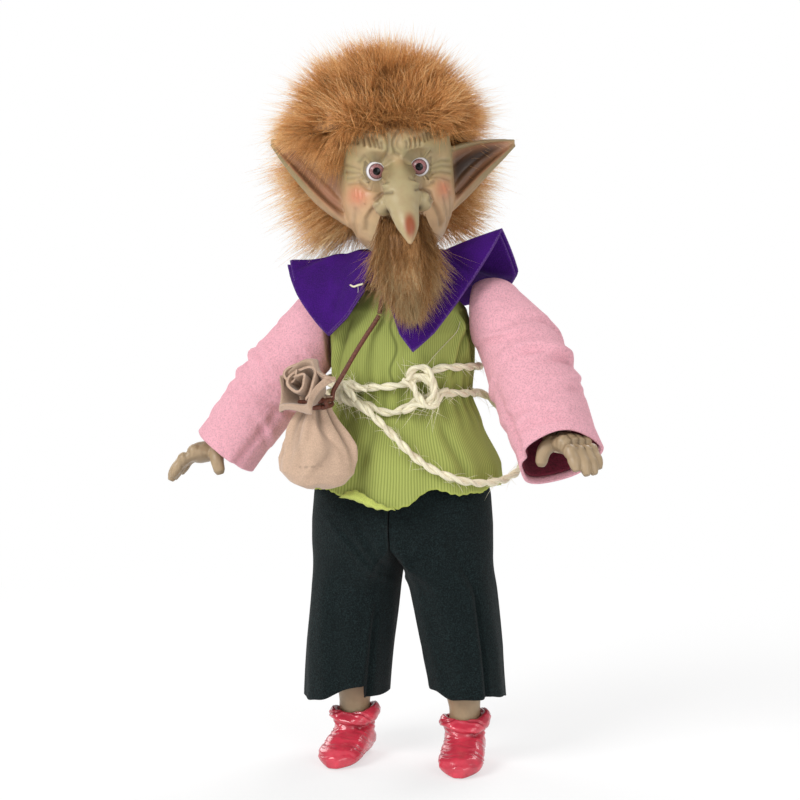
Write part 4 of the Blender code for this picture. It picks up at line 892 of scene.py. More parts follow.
def ear_edges(t, tip):
    """Heights of the ear's lower and upper edges on the way out to its tip."""
    low = 0.0095 + (tip - 0.0105) * t ** np.where(np.asarray(tip) > 0.05, 1.3, 0.78)
    high = 0.044 + (tip - 0.043) * t + 0.002 * np.sin(math.pi * t)
    return low, high


def ear_point(sign, t, up, front, tip):
    """A point of the ear: t runs out to the tip, up from the lower to the upper edge."""
    low, high = ear_edges(t, tip)
    middle, half = (low + high) / 2, np.maximum(0.0006, (high - low) / 2)
    root = 0.0195 - 0.006 * step(0.028, 0.01, middle + half * up)
    reach = root + (0.056 - root) * t
    back = 0.001 + 0.012 * t
    dish = 0.009 * np.sin(math.pi * np.minimum(1.0, t + 0.12)) * (1 - t) ** 0.4
    y = back + dish * (1 - up * up) - front
    return np.stack([sign * reach, y, middle + half * up], -1)


# Rolls of the ear: from where to where along it, points, how high up it, how far in front, radius
EAR_ROLLS = (
    (0.02, 1.0, 26, ((0, 1), (-0.97, -0.97)), 1.0, ((0, 0.25, 0.8, 1), (3.0, 2.4, 1.6, 0.8))),
    (0.02, 1.0, 26, ((0, 1), (0.97, 0.97)), 1.0, ((0, 0.3, 1), (1.2, 1.3, 0.6))),
    (0.1, 0.8, 20, ((0.1, 0.4, 0.8), (-0.55, -0.28, 0.1)), 0.6, ((0.1, 0.3, 0.8), (1.0, 2.1, 0.7))),
    (0.02, 0.45, 14, ((0, 0.45), (0.35, 0.62)), 0.8, ((0, 0.2, 0.45), (1.2, 1.4, 0.5))),
)
EAR_TIPS = {"right": 0.054, "left": 0.046}


def ear_parts(shape, side):
    sign, tip = SIDES[side], EAR_TIPS[side]
    angle = turns(28)
    rings = []
    for t in np.linspace(0, 1, 22):
        thick = (0.0018 - 0.0011 * t) * np.sin(angle)
        rings.append(ear_point(sign, np.full(28, t), np.cos(angle), thick, tip))
    shape.rings(rings)
    for first, last, count, ups, front, radii in EAR_ROLLS:
        t = np.linspace(first, last, count)
        roll = ear_point(sign, t, np.interp(t, *ups), front * MM, tip)
        shape.tube(roll, np.interp(t, *radii) * MM, 12)


# Lines of the face as (x, z) in millimetres, with their width and how far they stand out
FACE_LINES = (
    (((-20.5, 52.9), (-20.8, 50.8)), 0.55, -0.8), (((-19, 53.4), (-19.3, 50.8)), 0.55, -0.9),
    (((-17.3, 53.4), (-17.5, 50.4)), 0.55, -0.9), (((-15.2, 53), (-14.8, 49.4)), 0.6, -1),
    (((-12.9, 53), (-12.2, 48.8)), 0.65, -1.1), (((-11, 53), (-10, 48.2)), 0.65, -1.1),
    (((-9.3, 52.2), (-8.1, 47.6)), 0.65, -1.1), (((-7.3, 50.4), (-6.9, 47)), 0.6, -1),
    (((4, 49.9), (3.7, 46.4)), 0.6, -1), (((6, 51), (5.7, 46.8)), 0.65, -1.1),
    (((8.2, 51.3), (8.2, 47)), 0.65, -1.1), (((10.4, 51.6), (10.2, 47.6)), 0.6, -1),
    (((12.1, 52.5), (12.5, 49.4)), 0.55, -0.9), (((13.7, 53.5), (14, 50)), 0.55, -0.9),
    (((15.2, 54.1), (15.6, 50.8)), 0.55, -0.8), (((16.8, 54), (17.3, 51.2)), 0.55, -0.8),
    (((-6.4, 55), (-4.7, 52.6), (-3.8, 49.6), (-4.3, 46.2), (-5.6, 44.1)), 0.9, -0.9),
    (((-0.4, 54.1), (-1.9, 50.6), (-2.1, 48), (-1.3, 45.3), (0.6, 44)), 0.8, -0.8),
    (((1.6, 52.5), (0, 49.7), (0, 47.5), (1.2, 45.6)), 0.6, -0.5),
    (((-3.1, 56.3), (-3.1, 50.3), (-2.9, 45)), 0.8, 0.5),
    (((-15.6, 57.1), (-8, 58.5), (-1.3, 57.6)), 0.8, -0.4),
    (((0.2, 57.5), (7.8, 57.8), (13.8, 56.2)), 0.8, -0.4),
    (((-16.7, 35.8), (-14.4, 33), (-10.3, 31.6), (-6, 32.5)), 0.8, -0.7),
    (((-18.2, 33.4), (-14.8, 30.2), (-10.3, 29), (-6.4, 29.6)), 0.9, -0.7),
    (((-16, 34), (-12, 30.9), (-7, 30.9)), 1, 0.6),
    (((4.4, 33.4), (8.2, 31.9), (12.3, 32.4), (15, 34.6)), 0.8, -0.7),
    (((5.6, 29.8), (10.8, 29.4), (15.3, 31)), 0.9, -0.6),
    (((6, 31), (10.5, 30.6), (14.5, 32)), 1, 0.5), (((-23, 40.9), (-17.5, 38.6)), 0.7, -0.5),
    (((-23.4, 37.9), (-17.6, 36.9)), 0.7, -0.6), (((-22.6, 35), (-17.3, 35.1)), 0.7, -0.5),
    (((-22.4, 32.4), (-18.3, 33)), 0.7, -0.4),
    (((14.6, 38.4), (19.8, 40.4), (23.8, 40)), 0.7, -0.6),
    (((14.9, 36.9), (19.8, 37.9), (24.2, 37.4)), 0.7, -0.6),
    (((14.6, 35), (19.1, 35.3), (24, 34.4)), 0.7, -0.6),
    (((14.4, 33.1), (18.3, 32.9), (23, 31.2)), 0.7, -0.5),
    (((-17, 41.9), (-14.8, 44.2), (-10.3, 44.9), (-5.2, 43)), 0.9, -0.7),
    (((3.3, 42.4), (5.5, 44.9), (9.3, 45.5), (14.6, 43.7)), 0.9, -0.8),
    (((-19.9, 30), (-19.9, 26.6)), 0.5, 0.5), (((-18.3, 29.6), (-18, 25.4)), 0.5, 0.5),
    (((-16.6, 27.8), (-16.3, 23.8)), 0.5, 0.5), (((19.6, 29.9), (20.7, 25.4)), 0.6, 0.5),
    (((-10.6, 23.4), (-13.6, 20.1), (-15.8, 16.6), (-16.4, 11.9)), 0.9, -0.6),
    (((-13, 22.4), (-16.4, 18.8), (-18.6, 14.6), (-18.6, 8.7)), 1.5, 0.6),
    (((-20.4, 21), (-21.6, 15), (-20.6, 8)), 0.9, -0.4),
    (((12.6, 23.2), (15, 19.4), (16.8, 15.5), (17.2, 11.4)), 0.9, -0.7),
    (((15, 22.8), (17.6, 18.4), (19.4, 13.4)), 1.3, 0.6),
    (((19.4, 24), (20.8, 18), (20.6, 12)), 0.8, -0.5),
    (((22.6, 26), (23.2, 20), (22, 13)), 0.8, -0.5),
)


def line_share(across, height, line, width):
    """How near each point is to a line of the face, 1 on it and fading away."""
    best = np.full(len(across), 1e9)
    for (x0, z0), (x1, z1) in zip(line, line[1:]):
        dx, dz = x1 - x0, z1 - z0
        t = np.clip(((across - x0) * dx + (height - z0) * dz) / (dx * dx + dz * dz), 0, 1)
        away = (across - x0 - t * dx) ** 2 + (height - z0 - t * dz) ** 2
        best = np.minimum(best, away)
    return np.exp(-best / width**2)


def build_head():
    """The cast head: skull, nose and ears under one skin, with its lines, lids and paint marks, and
    painted shade in its creases, round the eyes, in the ear hollows and nostrils.
    """
    shape = Shape()
    heights = np.concatenate([np.linspace(0, 0.0022, 3)[:-1], np.linspace(0.0022, 0.071, 60)])
    shape.rings(head_skin(heights, 72))
    path = curve(NOSE_ROWS[:, :3], 40)
    at = np.linspace(0, len(NOSE_ROWS) - 1, 40)
    wide, deep = (np.interp(at, range(len(NOSE_ROWS)), NOSE_ROWS[:, k])[:, None] for k in (3, 4))
    across = np.broadcast_to([1.0, 0, 0], path.shape)
    out = np.cross(unit(np.gradient(path, axis=0)), across)
    shape.rings(hoops(path, out, across, deep, wide, 28))
    for x, z, radius in ((-0.008, 0.0222, 0.005), (0.009, 0.023, 0.0052)):
        shape.ball((x, -0.0262, z), radius * np.array((1, 1.05, 0.95)))
    shape.tube([(0, 0.002, -0.0126), (0, 0.002, 0.0), (0, 0.001, 0.008)], 0.0092, 32)
    for side in SIDES:
        ear_parts(shape, side)
        shape.ball(eye_place(side), EYE_RADIUS * 1.22)
    mesh = remeshed(shape, sizes().head_voxel, 5)
    points, normals = points_of(mesh), points_of(mesh, "normal")
    x, y, z = points.T
    across, height = x / MM, z / MM
    on_face = step(0.0, -0.006, y) * step(0.35, -0.1, normals[:, 1]) * step(-0.036, -0.03, y)
    push = np.zeros(len(points))
    wash = np.zeros(len(points))
    # Sunk lines are darkened: dark paint, and painted shade in the crease
    for line, width, rise in FACE_LINES:
        share = line_share(across, height, line, width) * on_face
        push += share * rise * MM
        if rise < 0:
            wash = np.maximum(wash, share * min(0.8, -rise * 0.62))
    # Two more creases round the wings of the nose, with painted shade in them
    for line in (
        ((6.4, 28.2), (9.8, 28.6), (13.0, 26.6), (13.6, 23.6)),
        ((-4.6, 27.9), (-8.6, 27.6), (-11.4, 24.8)),
    ):
        share = line_share(across, height, line, 0.8) * step(0.0, -0.01, y)
        push -= share * 0.8 * MM
        wash = np.maximum(wash, share * 0.7)
    points = points + normals * push[:, None]
    for side in SIDES:
        centre = eye_place(side)
        away = points - centre
        reach = np.linalg.norm(away, axis=1)
        gaze = np.array([0.0, -1.0, 0.04])
        angle = np.arccos(np.clip(away @ unit(gaze) / np.maximum(reach, 1e-9), -1, 1))
        near = reach < 0.0105
        inside = near & (angle < LID_OPENING)
        lid = EYE_RADIUS + 0.00045 + 0.00055 * bell(angle - LID_OPENING, 0.16)
        wanted = np.where(inside, EYE_RADIUS * 0.86, np.maximum(reach, lid))
        near &= angle < math.radians(100)
        wanted = np.where(near, wanted, reach)
        points = centre + away * (wanted / np.maximum(reach, 1e-9))[:, None]
        # Painted shadow in a thin ring round each eye, where the lid meets it
        rim = bell(angle - LID_OPENING - 0.05, 0.1) * (reach < 0.0075)
        wash = np.maximum(wash, 0.75 * rim)
    x, y, z = points.T
    across, height = x / MM, z / MM
    front = step(0.002, -0.012, y)

    def patch(at_x, at_z, wide, tall):
        return np.exp(-(((across - at_x) / wide) ** 2) - ((height - at_z) / tall) ** 2)

    tan = patch(0, 56, 16, 3.2) + patch(-14, 52, 6, 4) * 0.6 + patch(11, 53, 7, 4) * 0.5
    olive = step(24, 36, height) * (1 - 0.6 * tan.clip(0, 1)) + 0.5 * patch(-12, 12, 6, 8)
    mark(mesh, "olive", olive.clip(0, 1) * (0.8 + 0.2 * rough(points, 700, 9)).clip(0, 1))
    mark(mesh, "pale", step(-0.0255, -0.03, y) * step(2, 10, height) * 0.85)
    blush = patch(-19.0, 27.2, 4.4, 4.6) + 0.9 * patch(19.6, 27.6, 4.0, 4.6)
    mark(mesh, "blush", 0.85 * blush * front)
    spot = np.hypot((across - 1.9) / 2.9, (height - 13.2) / 6.0)
    mark(mesh, "tip", step(1.25, 0.4, spot) * step(-0.034, -0.038, y))
    ear = step(0.0235, 0.029, np.abs(x)) * step(0.3, -0.5, points_of(mesh, "normal")[:, 1])
    t = ((np.abs(x) - 0.0195) / 0.0365).clip(0, 1)
    low, high = ear_edges(t, np.where(x > 0, 0.046, 0.054))
    up = (z - (low + high) / 2) / np.maximum(0.001, (high - low) / 2)
    mark(mesh, "ear", 0.9 * ear * step(0.93, 0.76, np.abs(up)) * step(0.06, 0.05, np.abs(x)))
    # Painted shade in the ear hollows: full in the left ear, faint in the right
    hollow = ear * bell(up, 0.62) * step(0.95, 0.25, t)
    wash = np.maximum(wash, hollow * np.where(x > 0, 1.0, 0.15))
    wash = np.maximum(wash, 0.45 * step(0.8, 0.95, np.abs(up)) * step(0.0235, 0.029, np.abs(x)))
    # Painted shade along the groove above each ear's lower rim
    groove = ear * bell(up + 0.82 - 0.42 * t, 0.13) * step(0.9, 0.6, t)
    wash = np.maximum(wash, 0.7 * groove)
    # Near-black painted shade deep in the left ear's hollow
    deep = ear * (x > 0) * bell(up - 0.22, 0.52) * step(0.96, 0.62, t)
    # Painted shade beside the bridge of the nose, under the brows and at the left eye's outer
    # corner
    nook = patch(-4.6, 39.5, 2.4, 5.5) + patch(3.6, 40.5, 2.4, 6.0)
    nook = nook + 0.7 * patch(-10.3, 44.6, 7, 1.8)
    nook = nook + 0.8 * patch(9.2, 45.4, 7, 2.0) + 0.6 * patch(16.0, 42.0, 3, 4.0)
    fold = 0.5 * nook.clip(0, 1) * front
    mark(mesh, "wash", np.maximum(wash, fold) * 0.85)
    # The nostrils get the same near-black painted shade
    for at_x, at_z in NOSTRILS:
        nostril = patch(at_x, at_z, 2.6, 1.3) * step(0.2, -0.4, points_of(mesh, "normal")[:, 2])
        deep = np.maximum(deep, nostril)
    mark(mesh, "deep", deep * 0.95)
    move_points(mesh, at_head(points))
    return mesh


def build_eye(side):
    """A glass ball whose poles lie on its gaze, so that the iris stays round."""
    gaze = Vector((0.035 if side == "right" else -0.02, -1.0, -0.02)).normalized()
    turn = np.array(gaze.to_track_quat("Z", "Y").to_matrix())
    ways, angle = globe(56, 48, 0.01)
    reach = EYE_RADIUS * (1 + 0.05 * bell(angle, 0.55))
    points = eye_place(side) + (ways * reach[:, None, None]) @ turn.T
    mesh = Shape().rings(at_head(points)).mesh("eye")
    mark(mesh, "gaze", np.repeat(angle, 48))
    return mesh


# Fur


FUR_CENTRE = np.array([-0.0035, 0.008, 0.055])
# Reach of the mop: aside, forwards, backwards, up and down
FUR_HALF = (0.051, 0.039, 0.04, 0.0435, 0.049)
FUR_BACK = 0.0575
FUR_TOP = 0.345


def fur_reach(ways):
    """How far the mop reaches from its centre along each direction."""
    wide, fore, aft, top, low = FUR_HALF
    x, y, z = ways.T
    y_half = np.where(y > 0, aft, fore)
    z_half = np.where(z > 0, top, low)
    power = np.where(z > 0, 2.0, 2.9)
    wide = np.where(x > 0, wide * 0.95, wide * 1.01)
    total = np.abs(x / wide) ** power + np.abs(y / y_half) ** power + np.abs(z / z_half) ** power
    return total ** (-1 / power)


def fur_allowed(points):
    """Where fur may stand: above the hairline, which drops towards the back of the head."""
    x, y, z = points.T
    line = np.interp(
        y, (-0.02, -0.008, 0.004, 0.014, 0.0175), (0.0582, 0.0568, 0.0525, 0.0485, -1.0)
    )
    over_ear = np.where((np.abs(x) > 0.028) & (y < 0.0175), 0.0535, -1.0)
    return (z > np.maximum(line, over_ear) + 0.0012 * np.sin(x * 900)) & (z > 0.004)


def build_mop():
    """The fur's backing and underfur as one lumpy closed mass."""
    rings = globe(60, 120)[0]
    ways = rings.reshape(-1, 3)
    share = 0.70 + 0.04 * step(0.2, -0.5, ways[:, 1])
    reach = fur_reach(ways) * share * (1 + 0.05 * rough(ways, 9, 3) + 0.03 * rough(ways, 25, 4))
    points = FUR_CENTRE + ways * reach[:, None]
    front = np.interp(
        points[:, 2], (0.044, 0.048, 0.052, 0.0565, 0.059), (0.018, 0.016, 0.008, -0.006, -0.033)
    )
    points[:, 1] = np.maximum(points[:, 1], front)
    return Shape().rings(at_head(points).reshape(rings.shape)).mesh("mop")


def trimmed(roots, ways, lengths, rng):
    """Lengths of hairs, cut so that none stands out behind or above the fur's limits."""
    start, end = at_head(roots)[:, 1:], at_head(roots + unit(ways) * lengths[:, None])[:, 1:]
    room = (np.array([FUR_BACK, FUR_TOP]) - start) / np.maximum(1e-9, end - start)
    room = np.where(end > start, room, 1.0).min(1).clip(0.05, 1.0)
    return lengths * np.where(room < 1, room * rng.uniform(0.75, 1.0, len(roots)), 1.0)


def fur_groups():
    """Four groups of hairs: deep in the mass, in its middle, at its outside, and long strays."""
    rng = np.random.default_rng(11)
    width = sizes().hair_width
    made = []
    for name, count, start, spread, low, high, thick in (
        ("fur_under", 8800, 0.6, 0.5, 0.78, 0.98, 1.15),
        ("fur_middle", 8800, 0.6, 0.42, 0.84, 1.06, 1.0),
        ("fur_outer", 8800, 0.66, 0.38, 0.9, 1.12, 0.85),
        ("fur_stray", 4400, 0.62, 0.55, 1.04, 1.28, 0.5),
    ):
        ways = unit(rng.normal(size=(count * 3, 3)))
        reach = fur_reach(ways)
        roots = FUR_CENTRE + ways * (reach * start)[:, None]
        keep = fur_allowed(roots)
        roots, ways, reach = roots[keep][:count], ways[keep][:count], reach[keep][:count]
        lock = np.stack([rough(ways, 10, k) + 0.6 * rough(ways, 23, k + 3) for k in range(3)], 1)
        aim = unit(ways + spread * 0.85 * lock + spread * 0.28 * rng.normal(size=roots.shape))
        sweep = step(0.068, 0.058, roots[:, 2]) * step(0.006, -0.012, roots[:, 1])
        aim[:, 2] += 0.75 * sweep
        aim[:, 1] -= 0.15 * sweep
        lengths = reach * (rng.uniform(low, high, len(roots)) - start)
        droop = np.zeros((len(roots), 3))
        droop[:, 2] = -0.1 - 0.25 * step(0.045, 0.02, roots[:, 2])
        lengths = trimmed(roots, aim, lengths, rng)
        widths = width * thick * rng.uniform(0.7, 1.2, len(roots))
        points, faces = hairs(roots, aim, lengths, widths, droop, 0.17, 5, 4)
        made.append((name, [(at_head(points), faces)]))
    return made


def lock_hairs(route, count, spread, width, seed, sag):
    """A lock: hairs that start near the line of two points and end near that of two more."""
    rng = np.random.default_rng(seed)
    t = rng.uniform(0, 1, count)
    route = np.array(route) * MM
    roots = route[0] + (route[1] - route[0]) * t[:, None]
    tips = route[2] + (route[3] - route[2]) * (t + rng.normal(0, 0.08, count))[:, None]
    roots = roots + rng.normal(0, spread * 0.4, roots.shape)
    away = tips + rng.normal(0, spread, tips.shape) - roots
    lengths = np.linalg.norm(away, axis=1) * rng.uniform(0.75, 1.1, count)
    lengths = trimmed(roots, away, lengths, rng)
    droop = np.array([0.0, 0.0, -sag])
    ways = unit(away) - droop * 0.9
    return hairs(roots, ways, lengths, width * rng.uniform(0.7, 1.2, count), droop, 0.10, seed, 5)


# Each lock in millimetres, from between two points to between two more: its hairs and seed
SIDE_LOCKS = (
    (((-20, -6, 64), (-31, 6, 60), (-29, -8.5, 37), (-44, 0, 51)), 1700, 21),
    (((-17, -13, 63), (-25, -4, 61), (-25.5, -13, 51), (-30, -8, 40)), 800, 22),
    (((17, -12, 62), (26, 0, 61), (34, -14, 52.5), (44, -4, 58)), 600, 23),
    (((4, -22, 61), (16, -16, 62), (20, -26, 59), (33, -20, 62)), 500, 24),
    (((-20, -18, 59), (18, -18, 59), (-28, -29, 70), (24, -29, 70)), 1400, 25),
    (((-12, -21, 60), (10, -21, 60), (-15, -25, 54), (13, -25, 55)), 260, 26),
    (((-29, 2, 62), (-40, 8, 60), (-41, -3, 48), (-56, 4, 56)), 1300, 27),
    (((-23, -13, 60), (-15, -18, 61), (-25, -21, 49), (-18, -25, 56)), 260, 28),
    (((15, -18, 61), (23, -13, 60), (17, -25, 56.5), (24, -20.5, 49)), 300, 29),
)
NAPE_LOCKS = (
    (((-20, 19, 46), (-17, 21, 14), (-58, 22, 42), (-42, 20, 2)), 2900, 41),
    (((20, 19, 44), (17, 21, 14), (48, 22, 44), (36, 20, 4)), 2700, 42),
    (((-20, 24, 20), (20, 24, 20), (-30, 38, 4), (30, 38, 4)), 1500, 43),
)
BROW_LOCK = 25


def locks(rows, loose, sag):
    """Locks over the ears and temples or down the nape; the one over the brow is the loosest."""
    width = sizes().hair_width
    groups = []
    for route, count, seed in rows:
        spread = 0.0070 if seed == BROW_LOCK else loose
        points, faces = lock_hairs(route, count, spread, width, seed, sag)
        groups.append((at_head(points), faces))
    return groups


# Height, inner and outer reach, and half the spread in degrees
BEARD_ROWS = np.array((MM, MM, MM, 1)) * np.array((
    (14.5, 24.5, 28.5, 19), (10, 25.2, 31.5, 23), (4, 26.2, 34.5, 24), (-3, 28, 37, 22),
    (-10, 32.2, 39.5, 18), (-17, 35, 40.5, 12), (-22, 36.4, 40.5, 7), (-25, 37.6, 40, 4),
))


def beard_point(turn, reach, z):
    return np.stack([reach * np.sin(turn), -reach * np.cos(turn), z], -1)


def build_beard_mass():
    """The beard's underfur: a crescent that tapers to a point."""
    heights = np.linspace(0.014, -0.022, 34)
    inner, outer, half = row_values(BEARD_ROWS[::-1], heights)
    angle = turns(40)
    rings = []
    for z, low, high, spread in zip(heights, inner, outer, np.radians(half)):
        turn = spread * 0.8 * np.cos(angle)
        middle, thick = (low + high) / 2, (high - low) * 0.42
        reach = middle + thick * np.sin(angle) * (1 + 0.15 * np.sin(turn * 60 + z * 300))
        ring = beard_point(turn, reach, np.full(40, z))
        ring[:, 1] += step(0.008, 0.014, z) * 0.004 * bell(ring[:, 0], 0.008)
        rings.append(ring)
    return Shape().rings(at_head(np.array(rings))).mesh("beard")


def beard_hairs():
    """Hairs all over the beard, some longer ones, and the two sides of the moustache."""
    rng = np.random.default_rng(31)
    width = sizes().hair_width
    groups = []
    for count, low, high, thick, curl in (
        (5600, 0.006, 0.016, 0.9, 0.3),
        (1300, 0.012, 0.025, 0.6, 0.36),
    ):
        z = rng.uniform(-0.023, 0.0135, count)
        inner, outer, half = row_values(BEARD_ROWS[::-1], z)
        turn = np.radians(half) * rng.uniform(-1, 1, count)
        depth = rng.uniform(0.35, 1.0, count)
        roots = beard_point(turn, inner + (outer - inner) * depth * 0.9, z)
        ways = np.zeros_like(roots)
        ways[:, 0] = np.sin(turn) * 0.45 + 0.22 * rough(roots, 420, 5)
        ways[:, 1] = -0.16 * depth + 0.12 * rough(roots, 380, 6) + 0.1 * rng.normal(size=count)
        ways[:, 2] = -1.0
        ways += 0.26 * rng.normal(size=ways.shape)
        ways[:, 0] -= 0.45 * roots[:, 0] / 0.02 * step(0.0, -0.02, z)
        lengths = rng.uniform(low, high, count) * (0.65 + 0.5 * step(-0.022, 0.005, z))
        room = roots[:, 2] + 0.036 * (1 - 0.35 * np.abs(turn) / 0.42)
        room = room + 0.003 * rng.normal(size=count)
        lengths = np.minimum(lengths, np.maximum(room, 0.003))
        widths = width * thick * rng.uniform(0.6, 1.1, count)
        groups.append(hairs(roots, ways, lengths, widths, (0, -0.05, -0.1), curl, 32, 4))
    for sign in (-1, 1):
        count = 900
        t = rng.uniform(0, 1, count)
        turn = np.radians(sign * (3 + 19 * t))
        z = 0.0128 + 0.0022 * t + rng.normal(0, 0.0013, count)
        roots = beard_point(turn, 0.0258 + 0.002 * rng.uniform(0, 1, count), z)
        ways = np.zeros_like(roots)
        ways[:, 0] = sign * 0.3 + 0.16 * rng.normal(size=count)
        ways[:, 1] = -0.4 + 0.14 * rng.normal(size=count)
        ways[:, 2] = -1.0
        lengths = rng.uniform(0.006, 0.014, count)
        widths = width * rng.uniform(0.6, 1.1, count)
        droop = (sign * -0.08, 0.05, -0.25)
        groups.append(hairs(roots, ways, lengths, widths, droop, 0.18, 33 + sign, 4))
    return [(at_head(points), faces) for points, faces in groups]


# Clothes


# Height, half width and half depth
VEST_ROWS = MM * np.array((
    (122, 48, 32.5), (140, 46, 30.5), (158, 37.5, 25.5), (171, 32, 22.5), (185, 33.4, 24),
    (200, 33.5, 24.5), (210, 30, 22.5), (216.5, 24, 19), (221, 15.5, 15),
))
VEST_TOP = 0.2185
VEST_GIRTH = 0.232
WAIST_HEIGHT = 0.171
CHEST_HEIGHT = 0.194


def vest_size(heights):
    """Half width and half depth of the waistcoat, with the part's eased steps."""
    z, wide, deep = VEST_ROWS.T
    heights = np.clip(heights, z[0], z[-1])
    k = np.clip(np.searchsorted(z, heights) - 1, 0, len(z) - 2)
    t = (heights - z[k]) / (z[k + 1] - z[k])
    t = t * t * (3 - 2 * t) * 0.4 + t * 0.6
    return wide[k] + (wide[k + 1] - wide[k]) * t, deep[k] + (deep[k + 1] - deep[k]) * t


def waist_point(degrees, height, stand):
    """A point that stands off the waistcoat at so many degrees from the left side."""
    angle = np.radians(degrees)
    wide, deep = vest_size(np.asarray(height, float))
    x, y = (wide + stand) * np.cos(angle), (deep + stand) * np.sin(angle)
    return np.stack(np.broadcast_arrays(x, y, height), -1)


# Degrees round from the left side, and height
HEM_ROWS = np.array((1, MM)) * np.array((
    (0, 131), (60, 130), (120, 130.2), (180, 130.8), (200, 129.6), (215, 128.6), (240, 127.6),
    (250, 126.4), (262, 124), (272, 122.2), (278, 121.6), (284, 123.6), (290, 128),
    (297, 130.2), (305, 129.6), (315, 128.6), (330, 128.8), (345, 130.2), (360, 131),
))


def hem_line(angle):
    """Height of the waistcoat's hem: a low corner in front, and small torn teeth."""
    degrees = np.degrees(angle) % 360
    base = np.interp(degrees, *HEM_ROWS.T)
    teeth = 0.0003 * np.abs(np.sin(angle * 31)) + 0.0002 * np.sin(angle * 71)
    return base + teeth + 0.0009 * np.sin(angle * 11 + 1) * np.sin(angle * 5)


def build_vest():
    columns, rows = 400, 120
    angle = turns(columns)
    t = np.linspace(0, 1, rows)[:, None] ** 0.9
    hem = hem_line(angle)[None]
    z = hem + (VEST_TOP - hem) * t
    wide, deep = vest_size(z)
    loose = ((0.166 - z) / 0.044).clip(0, 1)
    folds = 0.02 * loose * np.cos(9 * angle + 0.6)
    folds = folds + 0.014 * loose * np.cos(17 * angle + 2.0 + z * 60)
    gathers = bell(z - WAIST_HEIGHT, 0.011)
    folds = folds + gathers * 0.02 * np.cos(26 * angle + np.sin(angle * 3) * 2)
    # Painted shade in the troughs of the gathers at the waist
    wash = gathers * step(0.2, -1.0, np.cos(26 * angle + np.sin(angle * 3) * 2)) * 0.35
    chest = bell(z - CHEST_HEIGHT, 0.013)
    folds = folds + chest * 0.012 * np.cos(7 * angle + z * 160)
    for at, low, high, lean, tall in (
        (-0.55, 0.176, 0.212, 14, 0.05),
        (-0.3, 0.178, 0.214, -9, 0.045),
        (-1.15, 0.174, 0.198, -16, 0.03),
        (3.75, 0.176, 0.21, 12, 0.04),
        (-1.95, 0.128, 0.165, 6, 0.026),
        (-0.95, 0.13, 0.166, -8, 0.034),
        (-2.35, 0.128, 0.168, 5, 0.03),
        (2.2, 0.13, 0.166, 7, 0.034),
        (0.9, 0.13, 0.168, -6, 0.036),
    ):
        off = (angle - at - lean * (z - (low + high) / 2) + math.pi) % math.tau - math.pi
        span = step(low, low + 0.01, z) * step(high, high - 0.01, z)
        folds = folds + tall * span * (bell(off, 0.07) - bell(off - 0.16, 0.06))
        # Painted shade in each fold's trough
        wash = np.maximum(wash, tall * 9 * span * bell(off - 0.16, 0.05))
    x, y = wide * (1 + folds) * np.cos(angle), deep * (1 + folds) * np.sin(angle)
    outer = np.stack([x, y, z], -1)
    front = step(0.0, -0.01, outer[..., 1]) * step(0.1755, 0.1795, z)
    edge_x = outer[..., 0] - 0.0035 - 0.0015 * np.sin(z * 300)
    outer[..., 1] -= 0.0008 * step(-0.001, 0.0012, edge_x) * front
    # A painted shadow line beside the raised front edge
    wash = np.maximum(wash, 0.7 * front * bell(edge_x + 0.0012, 0.0007))
    normal = unit(np.stack([np.cos(angle) / 1.3, np.sin(angle), 0 * angle], -1))[None]
    inner = outer - normal * sizes().cloth
    inner[..., 2] = np.minimum(inner[..., 2], VEST_TOP)
    around = np.linspace(0, VEST_GIRTH, columns, endpoint=False)
    cloth = np.stack(np.broadcast_arrays(around[None], z), -1)

    def both(values):
        return np.concatenate([values, values[::-1]], 0)

    shell = np.concatenate([outer, inner[::-1]], 0)
    mesh = Shape().rings(shell, closed=True, cloth=both(cloth)).mesh("vest")
    mark(mesh, "edge", both(step(0.0011, 0.0002, z - hem)).ravel())
    mark(mesh, "wash", both(wash).clip(0, 0.8).ravel())
    return mesh


def build_turned_hem():
    """The front corner of the hem that has turned up and shows the cloth's reverse."""
    degrees = np.linspace(246, 277, 34)
    t = np.linspace(0, 1, 10)[:, None]
    low = hem_line(np.radians(degrees)) - 0.0002
    tall = MM * np.interp(degrees, (246, 249, 255, 262, 270, 277), (0.3, 3, 4.8, 4.3, 2.4, 0.2))
    z = low + tall * t
    stand = 0.0008 + 0.0014 * np.sin(math.pi * t**0.8) + 0 * z
    front = waist_point(np.broadcast_to(degrees, z.shape), z, stand + 0.0016)
    back = waist_point(np.broadcast_to(degrees, z.shape), z, stand + 0.0008)
    return sheet_shape(front, back).mesh("turned_hem")


def sheet_shape(front, back):
    """A closed sheet between a front and a back grid of the same size."""
    rows, columns = front.shape[:2]
    count = rows * columns
    faces = grid_faces(rows, columns, wrap_columns=False)
    faces = np.vstack([faces, faces[:, ::-1] + count]).tolist()
    index = np.arange(count).reshape(rows, columns)
    border = np.concatenate([index[0], index[1:, -1], index[-1, -2::-1], index[-2:0:-1, 0]])
    ahead = np.roll(border, -1)
    faces += np.stack([border, border + count, ahead + count, ahead], -1).tolist()
    return Shape().add(np.stack([front, back]), faces)


# The collar's outer edge: turn in degrees, reach and height
COLLAR_STATIONS = np.array((1, MM, MM)) * np.array((
    (-20, 30, 220), (-34, 33.5, 208), (-49, 37.5, 200), (-62, 41.5, 206.5), (-75, 48, 216),
    (-90, 55, 228.5), (-112, 54, 227), (-140, 47, 219), (-165, 43, 211), (-190, 42.5, 209),
    (-215, 45.5, 212), (-238, 51.5, 218), (-257, 53, 228), (-274, 47.5, 247.5), (-283, 45, 238),
    (-292, 42, 228), (-305, 38.8, 215), (-322, 37, 202), (-337.5, 36.2, 194), (-347, 33.8, 202),
    (-356, 30, 216), (-364, 26.2, 227),
))
COLLAR_NECK = 0.02


